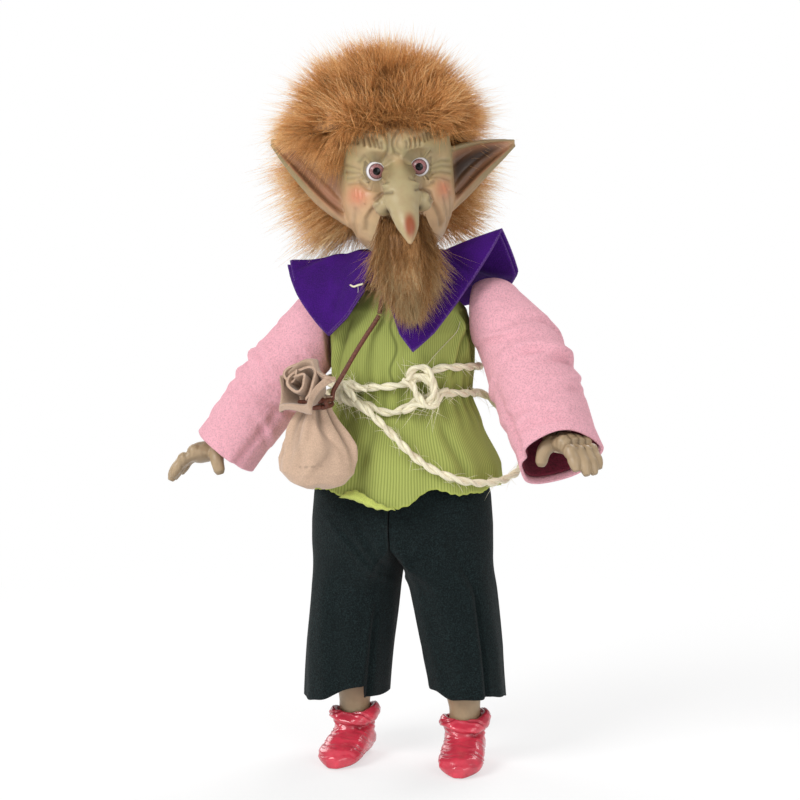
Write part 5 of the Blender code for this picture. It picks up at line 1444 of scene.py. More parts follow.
def collar_grid(shrink=1.0, lower=0.0, steps=22):
    """The collar's surface from the neck seam to its outer edge, turn by turn."""
    last = len(COLLAR_STATIONS) - 1
    at = np.linspace(0, last, last * 8 + 1)
    turn, reach, height = (np.interp(at, range(last + 1), row) for row in COLLAR_STATIONS.T)
    reach = COLLAR_NECK + (reach - COLLAR_NECK) * shrink
    neck = NECK_HEIGHT + 0.0005
    height = neck + (height - neck) * shrink
    t = np.linspace(0, 1, steps)[:, None]
    arch = np.sin(math.pi * t)
    drop = t + 0.3 * arch * np.where(height > 0.225, 1.0, -0.25)
    spread = np.maximum(0.0, 1.0 - np.abs((turn + 180 + 360) % 360 - 180) / 60)
    wide = np.minimum(1.0, t + 0.17 * arch * spread)
    radius = COLLAR_NECK + (reach - COLLAR_NECK) * wide
    level = neck + (height - neck) * np.minimum(1.3, drop)
    level = np.minimum(level, neck + np.maximum(0.0, height - neck) * t)
    wave = 0.0007 * np.sin(np.radians(turn) * 5 + t * 3) * t
    peek = 0.0044 * step(0.05, 0.4, t) * bell(turn + 100, 22) if lower else 0.0
    level = level + wave - lower * (0.3 + 0.7 * t) + peek
    angle = np.radians(turn)
    grid = np.stack(np.broadcast_arrays(radius * np.sin(angle), -radius * np.cos(angle), level), -1)
    return grid, t


def upward_normals(grid):
    normal = unit(np.cross(np.gradient(grid, axis=0), np.gradient(grid, axis=1)))
    return normal * np.sign(normal[..., 2:3] + 1e-9)


def build_collar(shrink, lower):
    """A layer of the collar; its raw edge is marked."""
    grid, t = collar_grid(shrink, lower)
    away = upward_normals(grid) * (sizes().felt / 2)
    mesh = sheet_shape(grid + away, grid - away).mesh("collar")
    count = grid.shape[1]
    run = np.linalg.norm(grid[-1] - grid[0], axis=1)[None] * (1 - t)
    ends = np.minimum(np.arange(count), np.arange(count)[::-1])[None] * 0.0009
    edge = step(0.0006, 0.0, np.minimum(run, ends + 0 * run))
    mark(mesh, "edge", np.concatenate([edge.ravel(), edge.ravel()]))
    return mesh


# Arms


ARMS = {
    "right": ((-0.0393, 0.0, 0.203), (-0.062, -0.002, 0.1725), (-0.0848, -0.004, 0.1425)),
    "left": ((0.0425, 0.0, 0.21), (0.0622, -0.008, 0.186), (0.0832, -0.0305, 0.146)),
}
SLEEVE_SHIFT = {"right": 0.0, "left": -0.0026}
SHOULDER_RADIUS = 0.0148
CUFF_RADIUS = {"right": 0.016, "left": 0.019}
CUFF_SLANT = {"right": 0.001, "left": 0.009}
SLEEVE_ROOT = 0.034
LINING_ROWS = 34


def build_sleeve(side):
    """The sleeve from its sewn-in head to the cuff, then back up the inside as a lining."""
    sign, cuff = SIDES[side], CUFF_RADIUS[side]
    path = curve(ARMS[side], 64)
    t = np.linspace(0, 1, 64)
    path[:, 0] += SLEEVE_SHIFT[side] * step(0.05, 0.6, t)
    size = SHOULDER_RADIUS + (cuff - SHOULDER_RADIUS) * t
    size = size + np.sin(math.pi * np.minimum(1.0, t * 1.15)) * (0.0018 if sign < 0 else 0.0028)
    angle = np.radians(np.linspace(84, 8, 12))
    cap = path[0] - unit(path[1] - path[0]) * (SHOULDER_RADIUS * np.sin(angle))[:, None]
    path = np.vstack([cap, path])
    size = np.concatenate([SHOULDER_RADIUS * np.cos(angle), size])
    along = np.concatenate([np.zeros(12), t])[:, None]

    around = turns(96)[None]
    folds = 0.022 * along * np.cos(5 * around + along * 5.0)
    rng = np.random.default_rng(4 if sign < 0 else 9)
    for at in np.linspace(0.12, 0.86, 17):
        where, span = rng.uniform(0, math.tau), rng.uniform(0.5, 1.0)
        lean, tall = rng.uniform(-0.11, 0.11), rng.uniform(0.05, 0.10)
        tall *= 0.6 + 0.8 * bell(at - 0.45, 0.2)
        off = (around - where + math.pi) % math.tau - math.pi
        bend = along - at - lean * off - 0.02 * np.sin(off * 3)
        crest = bell(bend, 0.030) - 0.8 * bell(bend - 0.045, 0.022)
        folds = folds + tall * crest * bell(off, span)
    off = (around - (5.45 if sign < 0 else 3.9) + math.pi) % math.tau - math.pi
    folds = folds - 0.13 * step(0.45, 0.75, along) * bell(off, 0.15)
    ripple = 1 + folds * step(0.0, 0.15, along)

    rings = tube(path, size, 96, flat=0.96, across=(0, 1, 0), ripple=ripple)
    way = unit(path[-1] - path[-2])
    for row, share in zip(range(1, 14), np.linspace(1, 0, 13)):
        ahead = np.maximum(0.0, path[-row][1] - rings[-row][:, 1]) / cuff
        rings[-row] -= way * (CUFF_SLANT[side] * share * ahead)[:, None]
    inside = rings[-LINING_ROWS:][::-1]
    centre = inside.mean(1, keepdims=True)
    depth = np.linspace(0, 1, LINING_ROWS)[:, None, None]
    cloth = inside - centre
    cloth = cloth * (1 - sizes().fleece / cuff * (0.9 + 0.3 * depth) - 0.30 * depth**2)
    inside = centre + cloth
    rim = (rings[-1:] + inside[:1]) / 2 + way * 0.0005
    skin = np.concatenate([rings, rim, inside[:3]], 0)
    skin[..., 0] = sign * np.maximum(sign * skin[..., 0], SLEEVE_ROOT)
    centre, cloth = centre[2:], cloth[2:]
    skin = np.concatenate([skin, centre + cloth * 1.02], 0)
    lining = np.concatenate([centre + cloth * 0.995, (centre + cloth * 0.95)[::-1]], 0)
    lining = Shape().rings(lining, closed=True).mesh("lining")
    return Shape().rings(skin).mesh("sleeve"), lining


def build_arm(side):
    """The stuffed arm inside the sleeve."""
    path = curve(ARMS[side], 40)[:-3]
    t = np.linspace(0, 1, len(path))
    size = 0.008 * (0.82 + 0.18 * np.minimum(1, t * 3) - 0.3 * np.maximum(0, t - 0.5) * 2)
    size[-1] *= 0.55
    size[0] *= 0.6
    return Shape().tube(path, size, 24).mesh("arm")


WRISTS = {
    "right": ((-0.08195, -0.00375, 0.14625), (-0.6053, -0.0531, -0.7942)),
    "left": ((0.07512, -0.02604, 0.15838), (0.3949, -0.4631, -0.7935)),
}
HAND_WAYS = {"right": (-0.96, -0.14, -0.18), "left": (0.72, -0.66, -0.08)}
PALM_WAYS = {"right": (-0.18, -0.1, -0.97), "left": (0.12, -0.2, -0.97)}
HAND_LENGTH = 0.032
HAND_WIDTH = 0.016
FINGER_RADIUS = 0.0027


# Fingers from the first to the fourth: how far aside, and how long
FINGERS = ((-0.36, 0.50), (-0.12, 0.58), (0.12, 0.56), (0.36, 0.46))


def build_hand(side):
    """A cast hand with a knuckled back, four curled fingers and a thumb."""
    sign = SIDES[side]
    wrist, forearm = (np.array(v) for v in WRISTS[side])
    along = unit(np.array(HAND_WAYS[side]))
    across = unit(np.cross(along, np.array(PALM_WAYS[side]))) * sign
    palm = unit(np.cross(across, along)) * sign
    shape = Shape()
    length = HAND_LENGTH * 0.46
    start = wrist + forearm * 0.00045
    bend = start + forearm * 0.0030
    path = [start, bend] + [bend + along * (length * t) for t in (0.30, 0.62, 0.95, 1.2)]
    fine = curve(path, 24)
    at = np.linspace(0, 5, 24)
    size = np.interp(at, range(6), (0.0048, 0.0048, 0.0061, 0.0078, 0.0085, 0.0071))[:, None]
    flat = np.interp(at, range(6), (0.95, 0.88, 0.70, 0.64, 0.60, 0.54))[:, None]
    ahead = unit(np.gradient(fine, axis=0))
    thick_way = unit(palm - ahead * (ahead @ palm)[:, None])
    shape.rings(hoops(fine, np.cross(ahead, thick_way), thick_way, size, size * flat, 32))
    knuckles = bend + along * (length * 1.05)
    swell = (1.0, 1.1, 0.98, 1.16, 0.96, 1.06, 0.92, 0.55)
    swell = np.interp(np.linspace(0, 4, 26), (0, 1, 1.5, 2, 2.5, 3, 3.5, 4), swell)
    for shift, reach in FINGERS:
        root = knuckles + across * (HAND_WIDTH * shift) - along * 0.002
        reach = HAND_LENGTH * reach
        spread = across * (shift * 0.16)
        first = root + unit(along * 0.95 + palm * 0.28 + spread) * (reach * 0.42)
        second = first + unit(along * 0.75 + palm * 0.62 + spread * 0.6) * (reach * 0.34)
        tip = second + unit(along * 0.55 + palm * 0.80 + spread * 0.3) * (reach * 0.29)
        finger = curve([root - along * 0.003, root, first, second, tip], 26)
        shape.tube(finger, swell * FINGER_RADIUS)
        shape.ball(first - palm * 0.0005, FINGER_RADIUS * 1.15, 10, 14)
        shape.ball(root - palm * 0.0012 + along * 0.001, FINGER_RADIUS * 1.25, 10, 14)
    root = bend + along * (length * 0.30) - across * (HAND_WIDTH * 0.20)
    knee = root - across * (HAND_WIDTH * 0.26) - along * 0.0004 + palm * 0.0038
    end = knee - along * 0.0006 + palm * 0.0078 - across * 0.0008
    thumb = curve([root, knee, (knee + end) / 2 - across * 0.0005, end], 22)
    swell = np.interp(np.linspace(0, 3, 22), (0, 1, 2, 2.6, 3), (1.4, 1.3, 1.08, 1.0, 0.6))
    shape.tube(thumb, swell * FINGER_RADIUS)
    mesh = remeshed(shape, sizes().hand_voxel, 4)
    points, normals = points_of(mesh), points_of(mesh, "normal")
    wash = np.zeros(len(points))
    push = np.zeros(len(points))
    row, ahead, under = ((points - knuckles) @ way for way in (across, along, palm))
    # Grooves between the knuckles, with painted shade in them
    for shift in (-0.24, 0.0, 0.24):
        share = bell(row / HAND_WIDTH - shift, 0.035) * step(-0.009, -0.002, ahead)
        share *= step(0.002, -0.001, under)
        push -= share * 0.0005
        wash = np.maximum(wash, share * 0.5)
    creases = 0.5 + 0.5 * np.sin(ahead * 2600)
    creases *= step(-0.003, 0.002, ahead) * step(0.009, 0.004, ahead)
    push -= 0.00012 * creases
    # Painted shade in the finger creases and on the faces turned to the palm side
    wash = np.maximum(np.maximum(wash, 0.25 * creases), 0.35 * step(0.0, 0.6, normals @ palm))
    mark(mesh, "wash", wash)
    move_points(mesh, points + normals * push[:, None])
    return mesh


# Trousers, legs and boots


# Height, middle and half width of each trouser leg
LEGS = {
    "right": MM * np.array(((30, -26.9, 20), (55, -25, 20.5), (84, -22, 21), (97, -20.8, 21))),
    "left": MM * np.array(((30, 31.2, 17.8), (55, 28.8, 18.6), (84, 24, 20.2), (97, 22.4, 20.2))),
}
ANKLES = {"right": (-0.0235, 0.0015), "left": (0.03, 0.0005)}
TOE_TURNS = {"right": -3.0, "left": 8.0}
HIP_HEIGHT = 0.097
HEM_HEIGHT = 0.03
SEAT_ROWS = MM * np.array((
    (84, 42.8, 22.2), (100, 43, 24), (112, 42.8, 24.5), (126, 41.6, 23.5), (138, 38.3, 22),
    (150, 33, 21.3),
))
CROTCH = 0.0905
LEG_DEPTH = 0.0205
MIDDLE_GAP = 0.0004


def build_trouser(side):
    """One half of the trousers, from the waist round one leg to the hem, open at the hem."""
    sign = SIDES[side]
    z = np.concatenate([np.linspace(0.149, 0.100, 40), np.linspace(0.0985, 0.0305, 76)])[:, None]
    angle = turns(144)[None]
    cos, sin = np.cos(angle), np.sin(angle)
    round_x, round_y = (np.copysign(np.abs(v) ** 0.92, v) for v in (cos, sin))
    middle, half = row_values(LEGS[side], z)
    leg_y = ANKLES[side][1] * np.clip((HIP_HEIGHT - z) / (HIP_HEIGHT - HEM_HEIGHT), 0, 1)
    seat_wide, seat_deep = row_values(SEAT_ROWS, z)
    leg = middle + half * round_x, leg_y + LEG_DEPTH * round_y
    seat = sign * seat_wide * np.maximum(sign * cos, MIDDLE_GAP), seat_deep * round_y
    blend = step(CROTCH - 0.010, CROTCH + 0.014, z)
    x, y = (of_leg + (of_seat - of_leg) * blend for of_leg, of_seat in zip(leg, seat))
    x = sign * np.maximum(sign * x, MIDDLE_GAP)
    down = step(0.150, 0.030, z)
    folds = 0.014 * np.cos(6 * angle + sign * 0.8 + z * 20)
    folds = folds + 0.010 * np.cos(11 * angle + z * 55 + sign)
    folds = folds + 0.012 * np.cos(3 * angle - z * 90)
    centre_pull = bell(z - 0.098, 0.014) * (sin < 0)
    for lean, at in ((0.55, 0.006), (0.95, 0.012), (-0.4, 0.003)):
        line = np.abs(x) - at - lean * (z - 0.098)
        folds = folds - 0.075 * centre_pull * bell(line, 0.0016)
        folds = folds + 0.045 * centre_pull * bell(line - 0.0035, 0.0018)
    crease = 5.43 if sign > 0 else 5.41
    off = (angle - crease + math.pi) % math.tau - math.pi
    hang = step(0.130, 0.095, z) if sign > 0 else step(0.085, 0.060, z)
    folds = folds + hang * (0.05 * bell(off + 0.10, 0.08) - 0.10 * bell(off - 0.06, 0.07))
    x = x + (x - middle) * folds * down * step(0.0005, 0.004, np.abs(x))
    y = y + (y - leg_y) * folds * (0.45 + 0.55 * down)
    low = step(0.060, 0.030, z)
    if sign < 0:
        rise = 0.0062 * step(-0.037, -0.0145, x) * (off < 0.0) * (sin < 0.3) * low
        rise = rise - 0.0026 * step(-0.026, -0.046, x) * step(0.070, 0.030, z)
    else:
        rise = (0.0030 * step(0.030, 0.0175, x) + 0.0036 * step(0.5, -0.8, sin)) * low
    ripple = 0.0005 * np.cos(angle * 2 + 0.5) + 0.0003 * np.cos(angle * 9)
    level = z + ripple * step(0.045, 0.030, z) + rise
    x = sign * np.maximum(sign * x, MIDDLE_GAP)
    outer = np.stack([x, y, level], -1)
    centre = outer.mean(1, keepdims=True)
    reach = np.linalg.norm(outer[..., :2] - centre[..., :2], axis=-1, keepdims=True)
    inner = centre + (outer - centre) * (1 - 0.0014 / np.maximum(reach, 0.004))
    inner[..., 2] = outer[..., 2]
    back = inner[-LINING_ROWS:][::-1]
    tighten = 1 - 0.45 * np.linspace(0, 1, LINING_ROWS)[:, None, None] ** 3
    middle = back.mean(1, keepdims=True)
    inside = middle + (back - middle) * tighten
    inside[..., 2] = back[..., 2]
    return Shape().rings(np.concatenate([outer, inside], 0)).mesh("trouser")


def leg_middle(side, z):
    ankle = ANKLES[side]
    top = row_values(LEGS[side], np.array([HIP_HEIGHT]))[0][0]
    t = np.clip((HIP_HEIGHT - z) / (HIP_HEIGHT - 0.024), 0, 1)
    return np.stack([top + (ankle[0] - top) * t, ankle[1] * t, z], -1)


def build_leg(side):
    """The stuffed leg, seen as an ankle between the hem and the boot."""
    z = np.linspace(0.016, 0.0895, 40)
    heights = (0.0135, 0.026, 0.04, 0.058, 0.076, 0.086, 0.09)
    size = np.interp(z, heights, (7.2, 7.2, 9.5, 11, 10.8, 9.9, 6.6))[:, None] * MM
    middle = leg_middle(side, z)
    ways = (np.broadcast_to(way, middle.shape) for way in ((1.0, 0, 0), (0, 1.0, 0)))
    mesh = Shape().rings(hoops(middle, *ways, size, size, 32)).mesh("leg")
    # Painted shade that darkens the leg towards and under the trouser hem
    mark(mesh, "wash", 0.4 * step(0.026, 0.036, points_of(mesh)[:, 2]))
    return mesh


# A boot's foot from heel to toe: how far ahead, half its width, and its height
FOOT_ROWS = MM * np.array((
    (-10.3, 3.4, 9.0), (-8.9, 7.2, 13.0), (-3.7, 9.3, 16.0), (4.2, 9.8, 16.5), (10.9, 10.2, 14.0),
    (17.6, 10.5, 11.2), (23.9, 9.8, 9.2), (28.4, 6.5, 7.8), (31.3, 2.7, 5.4),
))
# Its shaft and cuff: height and radius
SHAFT_ROWS = MM * np.array((
    (5.0, 8.2), (9.0, 9.6), (13.0, 9.6), (15.0, 9.4), (16.3, 10.8), (18.4, 12.0), (20.8, 12.2),
    (22.6, 11.4), (23.6, 10.2),
))
BOOT_VOXEL = 0.0005


def build_boot(side):
    """A slouched ankle boot: a creased instep, a pointed toe and a turned-down cuff."""
    shape = Shape()
    reach, wide, tall = curve(FOOT_ROWS, 56).T[..., None]
    angle = turns(36)
    x = wide * np.cos(angle)
    z = tall * 0.5 * (1 + np.sin(angle) * 1.12)
    shape.rings(np.stack([x, -np.broadcast_to(reach, x.shape), np.maximum(z, 0.0004)], -1))
    z = np.linspace(0.0050, 0.0238, 30)[:, None]
    size = np.interp(z, *SHAFT_ROWS.T)
    dip = 0.0012 + 0.0030 * bell(angle - 4.6, 0.6)
    slouch = 0.0014 * np.sin(angle * 2 + 0.7) + 0.0012 * np.sin(angle + 2.0) - dip
    z = z + step(0.014, 0.019, z) * slouch
    shape.rings(np.stack([np.cos(angle) * size, np.sin(angle) * 1.03 * size, z], -1))
    mesh = remeshed(shape, BOOT_VOXEL, 5)
    points, normals = points_of(mesh), points_of(mesh, "normal")
    x, y, z = points.T
    away = np.hypot(x, y)
    inside = (away < 0.0085) & (z > 0.0150)
    points[inside, 2] = 0.0150
    upper = step(0.002, 0.005, z) * step(0.0240, 0.0215, z)
    run = z + 0.60 * y + 0.0010 * np.sin(x * 330 + 1 + z * 200) + 0.0006 * np.sin(x * 700)
    bands = np.sin(run * 820 + 0.5) * 0.7 + 0.5 * np.sin(run * 1500 + x * 260 + 1) * np.sin(x * 240)
    creases = step(0.35, 1.1, bands) * step(-0.0295, -0.024, y) * step(0.008, 0.0, y)
    roll = bell(z - 0.0158 - 0.0012 * np.sin(np.arctan2(y, x) * 2), 0.0009)
    push = (-0.0008 * creases - 0.0011 * roll + 0.0003 * bands) * upper * (away > 0.0088)
    creases = np.maximum(creases * 0.8, roll)
    points += normals * push[:, None]
    points[:, 2] = np.maximum(points[:, 2], 0.0)
    # Painted shade in the creases, under the cuff's roll and inside the shaft
    mark(mesh, "wash", (0.40 * creases * upper + 0.8 * inside).clip(0, 1))
    turn = math.radians(TOE_TURNS[side])
    cos, sin = math.cos(turn), math.sin(turn)
    turned = points @ np.array(((cos, sin, 0), (-sin, cos, 0), (0, 0, 1)))
    move_points(mesh, turned + (*ANKLES[side], 0))
    return mesh


# Rope, thong and pouch


ROPE_LAY = 0.0160


def twisted(shape, path, diameter, closed=False, start=0.0):
    """Adds two strands twisted round each other along a path."""
    ahead, side, other = crosswise(path, closed)
    run = np.concatenate([[0], np.cumsum(np.linalg.norm(np.diff(path, axis=0), axis=1))])
    lay, twist = ROPE_LAY, 0 * run
    if closed:
        total = run[-1] + np.linalg.norm(path[-1] - path[0])
        lay = total / max(1, round(total / lay))
        twist = -math.atan2(side[0] @ other[-1], side[0] @ side[-1]) * run / total
    for half in (0, math.pi):
        turn = (run / lay * math.tau + half + start + twist)[:, None]
        offset = side * np.cos(turn) + other * np.sin(turn)
        centre = path + offset * (diameter * 0.225)
        square = unit(np.cross(ahead, offset))
        shape.rings(hoops(centre, offset, square, diameter * 0.275, diameter * 0.300, 12), closed)
    return shape


def rope_fibres(path, diameter, count, seed, reach=(0.003, 0.009)):
    """Loose fibres that stand off a rope."""
    rng = np.random.default_rng(seed)
    ahead, side, other = crosswise(path)
    pick = rng.integers(1, len(path) - 1, count)
    angle = rng.uniform(0, math.tau, count)
    out = side[pick] * np.cos(angle)[:, None] + other[pick] * np.sin(angle)[:, None]
    roots = path[pick] + out * diameter * 0.36
    sign = rng.choice((-1, 1), count)[:, None]
    ways = ahead[pick] * sign * rng.uniform(0.6, 1.6, (count, 1))
    ways = unit(ways + out * rng.uniform(0.3, 1.0, (count, 1)))
    lengths = rng.uniform(*reach, count)
    return hairs(roots, ways, lengths, 0.0002, (0, 0, -0.15), 0.25, seed, 5)


# The belt's two turns: degrees round from the left side, and height
UPPER_TURN = np.array((1, MM)) * np.array((
    (-180, 177), (-135, 175.6), (-117, 175.2), (-80, 177.2), (-66, 180.5), (-52, 185.5),
    (0, 184.5), (60, 182), (120, 179), (180, 177),
))
LOWER_TURN = np.array((1, MM)) * np.array((
    (-180, 170.6), (-135, 170.4), (-117, 170), (-100, 167), (-87, 163.6), (-74, 168.5),
    (-62, 172.5), (-40, 173.6), (0, 172), (60, 171), (120, 170.8), (180, 170.6),
))
BELT_STAND = 0.0025


def belt_path(rows):
    degrees = np.linspace(-180, 180, 180, endpoint=False)
    height = np.interp(degrees, *rows.T)
    kernel = np.hanning(15) / np.hanning(15).sum()
    height = np.convolve(np.concatenate([height[-7:], height, height[:7]]), kernel, "valid")
    return waist_point(degrees, height, BELT_STAND)


def knot_path(degrees, height, strand, count):
    """A strand of a knot; each point of it is across, up and out in millimetres."""
    origin = waist_point(degrees, height, 0.0)
    out = unit(waist_point(degrees, height, 0.01) - origin)
    across = np.array([-out[1], out[0], 0.0])
    route = [origin + (across * a + out * o + np.array([0, 0, u])) * MM for a, u, o in strand]
    return curve(route, count)


CENTRE_STRANDS = (
    (
        (-6.5, 3.5, 5.2), (-4.5, 8, 6), (0.5, 9.2, 6.4), (4, 5, 8), (4.6, -2, 8), (2, -7, 6.6),
        (-3, -7.8, 5.4), (-8.5, -11, 4.2),
    ),
    (
        (-8.4, 3.6, 4), (-4.6, 1.5, 6), (-2.2, -3.4, 6.8), (1.5, -7.6, 6.8), (6.6, -7, 6.6),
        (8.6, -3, 5.2), (12, -1.6, 3.4),
    ),
    ((-5, 2, 4), (-2, 5.6, 6.6), (2.6, 3, 7.6), (6, -4, 7), (4, -8.6, 6)),
)
SIDE_STRANDS = (
    ((-9.0, -3.5, 4.0), (-6.0, 2.0, 6.4), (-0.5, 5.0, 7.0), (4.5, 3.4, 6.4), (9.0, 2.6, 4.4)),
    ((-8.5, 2.5, 4.4), (-4.5, -1.0, 7.2), (0.0, -3.6, 7.0), (4.4, -4.6, 6.2), (8.5, -6.8, 5.2)),
    ((-6.5, -5.0, 4.8), (-6.8, 0.5, 6.0), (-3.0, 4.2, 7.6), (1.6, 1.0, 8.2), (4.0, -3.0, 6.6)),
)
TAIL_ROUTE = MM * np.array((
    (-13.3, -28.7, 168.9), (-10.1, -30.6, 167.7), (-6.2, -32.3, 165.2), (-1.8, -33.6, 161.8),
    (2.6, -34.1, 157.8), (7, -33.8, 153.5), (11.8, -33.1, 148.6), (17.2, -32.2, 144),
    (23.5, -30.8, 140), (30.5, -28, 136.8), (37.5, -24, 134.5), (44, -17.5, 133.5),
    (50, -8.5, 134), (54.5, 1, 137.2), (55.8, 9, 142.5), (54, 15, 149), (49.5, 19.2, 155.5),
    (43, 21.5, 162), (36.5, 22, 167.5), (31.8, 20.4, 170.3), (28.7, 17, 171.2),
))
POUCH_PIVOT = (-0.004, -0.025, 0.2085)
POUCH_CENTRE = (-0.0315, -0.0372, 0.15)
POUCH_HALF = (0.0176, 0.0105, 0.0185)
POUCH_NECK_RADIUS = 0.006


def neck_loop_path():
    """The thong's way from the pouch up under the collar, and round the neck."""
    rise = ((0.1, 0.2, 0.8), (0.3, 1.3, 3.8), (0.8, 4.0, 8.8), (2.0, 7.2, 11.5))
    route = [np.array(POUCH_PIVOT) + np.array(v) * MM for v in rise]
    wide, deep = vest_size(np.array(VEST_TOP))
    for angle in np.radians(range(-72, 250, 20)):
        ring = (wide - 0.0005) * math.cos(angle), (deep - 0.0005) * math.sin(angle), 0.2200
        route.append(np.array(ring))
    return curve(route, 110)


def loose_threads():
    """A stray thread that runs from the collar to the knot, and the collar's tacking stitch."""
    degrees = np.array([-24, -34, -45, -55, -63, -72.0])
    height = np.array([0.2065, 0.2012, 0.1955, 0.1905, 0.185, 0.1795])
    route = waist_point(degrees, height, np.array([0.0016, 0.0022, 0.0013, 0.0024, 0.003, 0.0046]))
    shape = Shape().tube(curve(route, 60), 0.00013, 6)
    grid = collar_grid()[0]
    above = grid + upward_normals(grid) * 0.0011
    stitch = np.array([above[at] for at in ((19, 0), (18, 1), (16, 3), (14, 6), (12, 9))])
    shape.tube(curve(stitch, 24), 0.00045, 8)
    loose = np.array(((0, -0.3, 0), (0.2, -0.6, -2.5), (-0.3, -0.4, -5.5), (0.1, 0.2, -8))) * MM
    return shape.tube(curve(stitch[2] + loose, 30), 0.00012, 6)


def pouch_neck():
    return np.array(POUCH_CENTRE) + np.array([0.0015, 0.0, POUCH_HALF[2] + 0.0012])


def thong_path():
    """The thong's free run, from under the collar to the pouch's neck."""
    neck = pouch_neck()
    end = neck + (POUCH_NECK_RADIUS + 0.00165, 0, 0.0016)
    fall = ((0, 0, 0), (-2.2, -1.2, -4), (-5.5, -2.4, -9.2), (-10, -5, -17.2), (-14.5, -8.5, -26.2))
    route = [np.array(POUCH_PIVOT) + np.array(v) * MM for v in fall]
    return curve(route + [end + (0.0004, 0.0010, 0.0042), end], 60)


# The bag from its bottom to its neck: level, width and depth as shares of POUCH_HALF
BAG_ROWS = (
    (-1, 0.18, 0.25), (-0.97, 0.42, 0.5), (-0.88, 0.72, 0.78), (-0.62, 0.97, 0.98),
    (-0.3, 1.02, 1.02), (0.05, 0.93, 0.98), (0.4, 0.72, 0.84), (0.7, 0.5, 0.66), (0.9, 0.37, 0.56),
    (1.08, 0.32, 0.52), (1.24, 0.34, 0.55),
)


def build_bag():
    """The pouch: a sagging bag whose cloth runs in gathers up to its tied neck."""
    level = np.linspace(-1.0, 1.24, 84)[:, None]
    wide, deep = row_values(BAG_ROWS, level)
    angle = turns(160)[None]
    up = (level + 1) / 2
    gathers = 0.22 * up**2.0 * np.cos(8 * angle + 1.4 * np.sin(angle * 2) + 0.8 * level)
    gathers = gathers + 0.07 * up**1.5 * np.cos(15 * angle + 0.8)
    dents = -0.10 * bell(angle - 4.95, 0.22) * bell(level + 0.25, 0.5)
    dents = dents - 0.06 * bell(angle - 5.75, 0.16) * bell(level - 0.1, 0.5)
    sag = 0.04 * np.sin(angle * 3 + level * 4)
    for at, high, lean, tall in (
        (4.35, 0.1, 0.5, 0.09),
        (5.15, 0.3, -0.4, 0.08),
        (4.7, -0.45, 0.9, 0.06),
    ):
        off = angle - at - lean * (level - high)
        fold = bell(off, 0.13) - 0.9 * bell(off - 0.24, 0.12)
        sag = sag + tall * fold * bell(level - high, 0.38)
    grow = 1 + gathers + dents + sag
    lean = 0.0034 * step(0.7, -0.2, level) + 0.0015 * level
    x = POUCH_CENTRE[0] + lean + POUCH_HALF[0] * wide * np.cos(angle) * grow
    y = POUCH_CENTRE[1] + POUCH_HALF[1] * deep * np.sin(angle) * grow
    z = POUCH_CENTRE[2] + POUCH_HALF[2] * level + 0.0006 * np.sin(angle * 4) * (1 - up)
    mesh = Shape().rings(np.stack([x, y, z], -1)).mesh("bag")
    # Painted shade in the deep folds; the seam's stitches are drawn dark too
    deep_fold = step(0.02, -0.16, gathers + dents) * 0.55
    seam = bell(level + 0.42, 0.020) * step(4.1, 4.3, angle) * step(5.2, 5.0, angle)
    stitch = seam * (0.5 + 0.5 * np.sign(np.sin(angle * 130)))
    mark(mesh, "wash", np.maximum(deep_fold, stitch * 0.7).ravel())
    return mesh


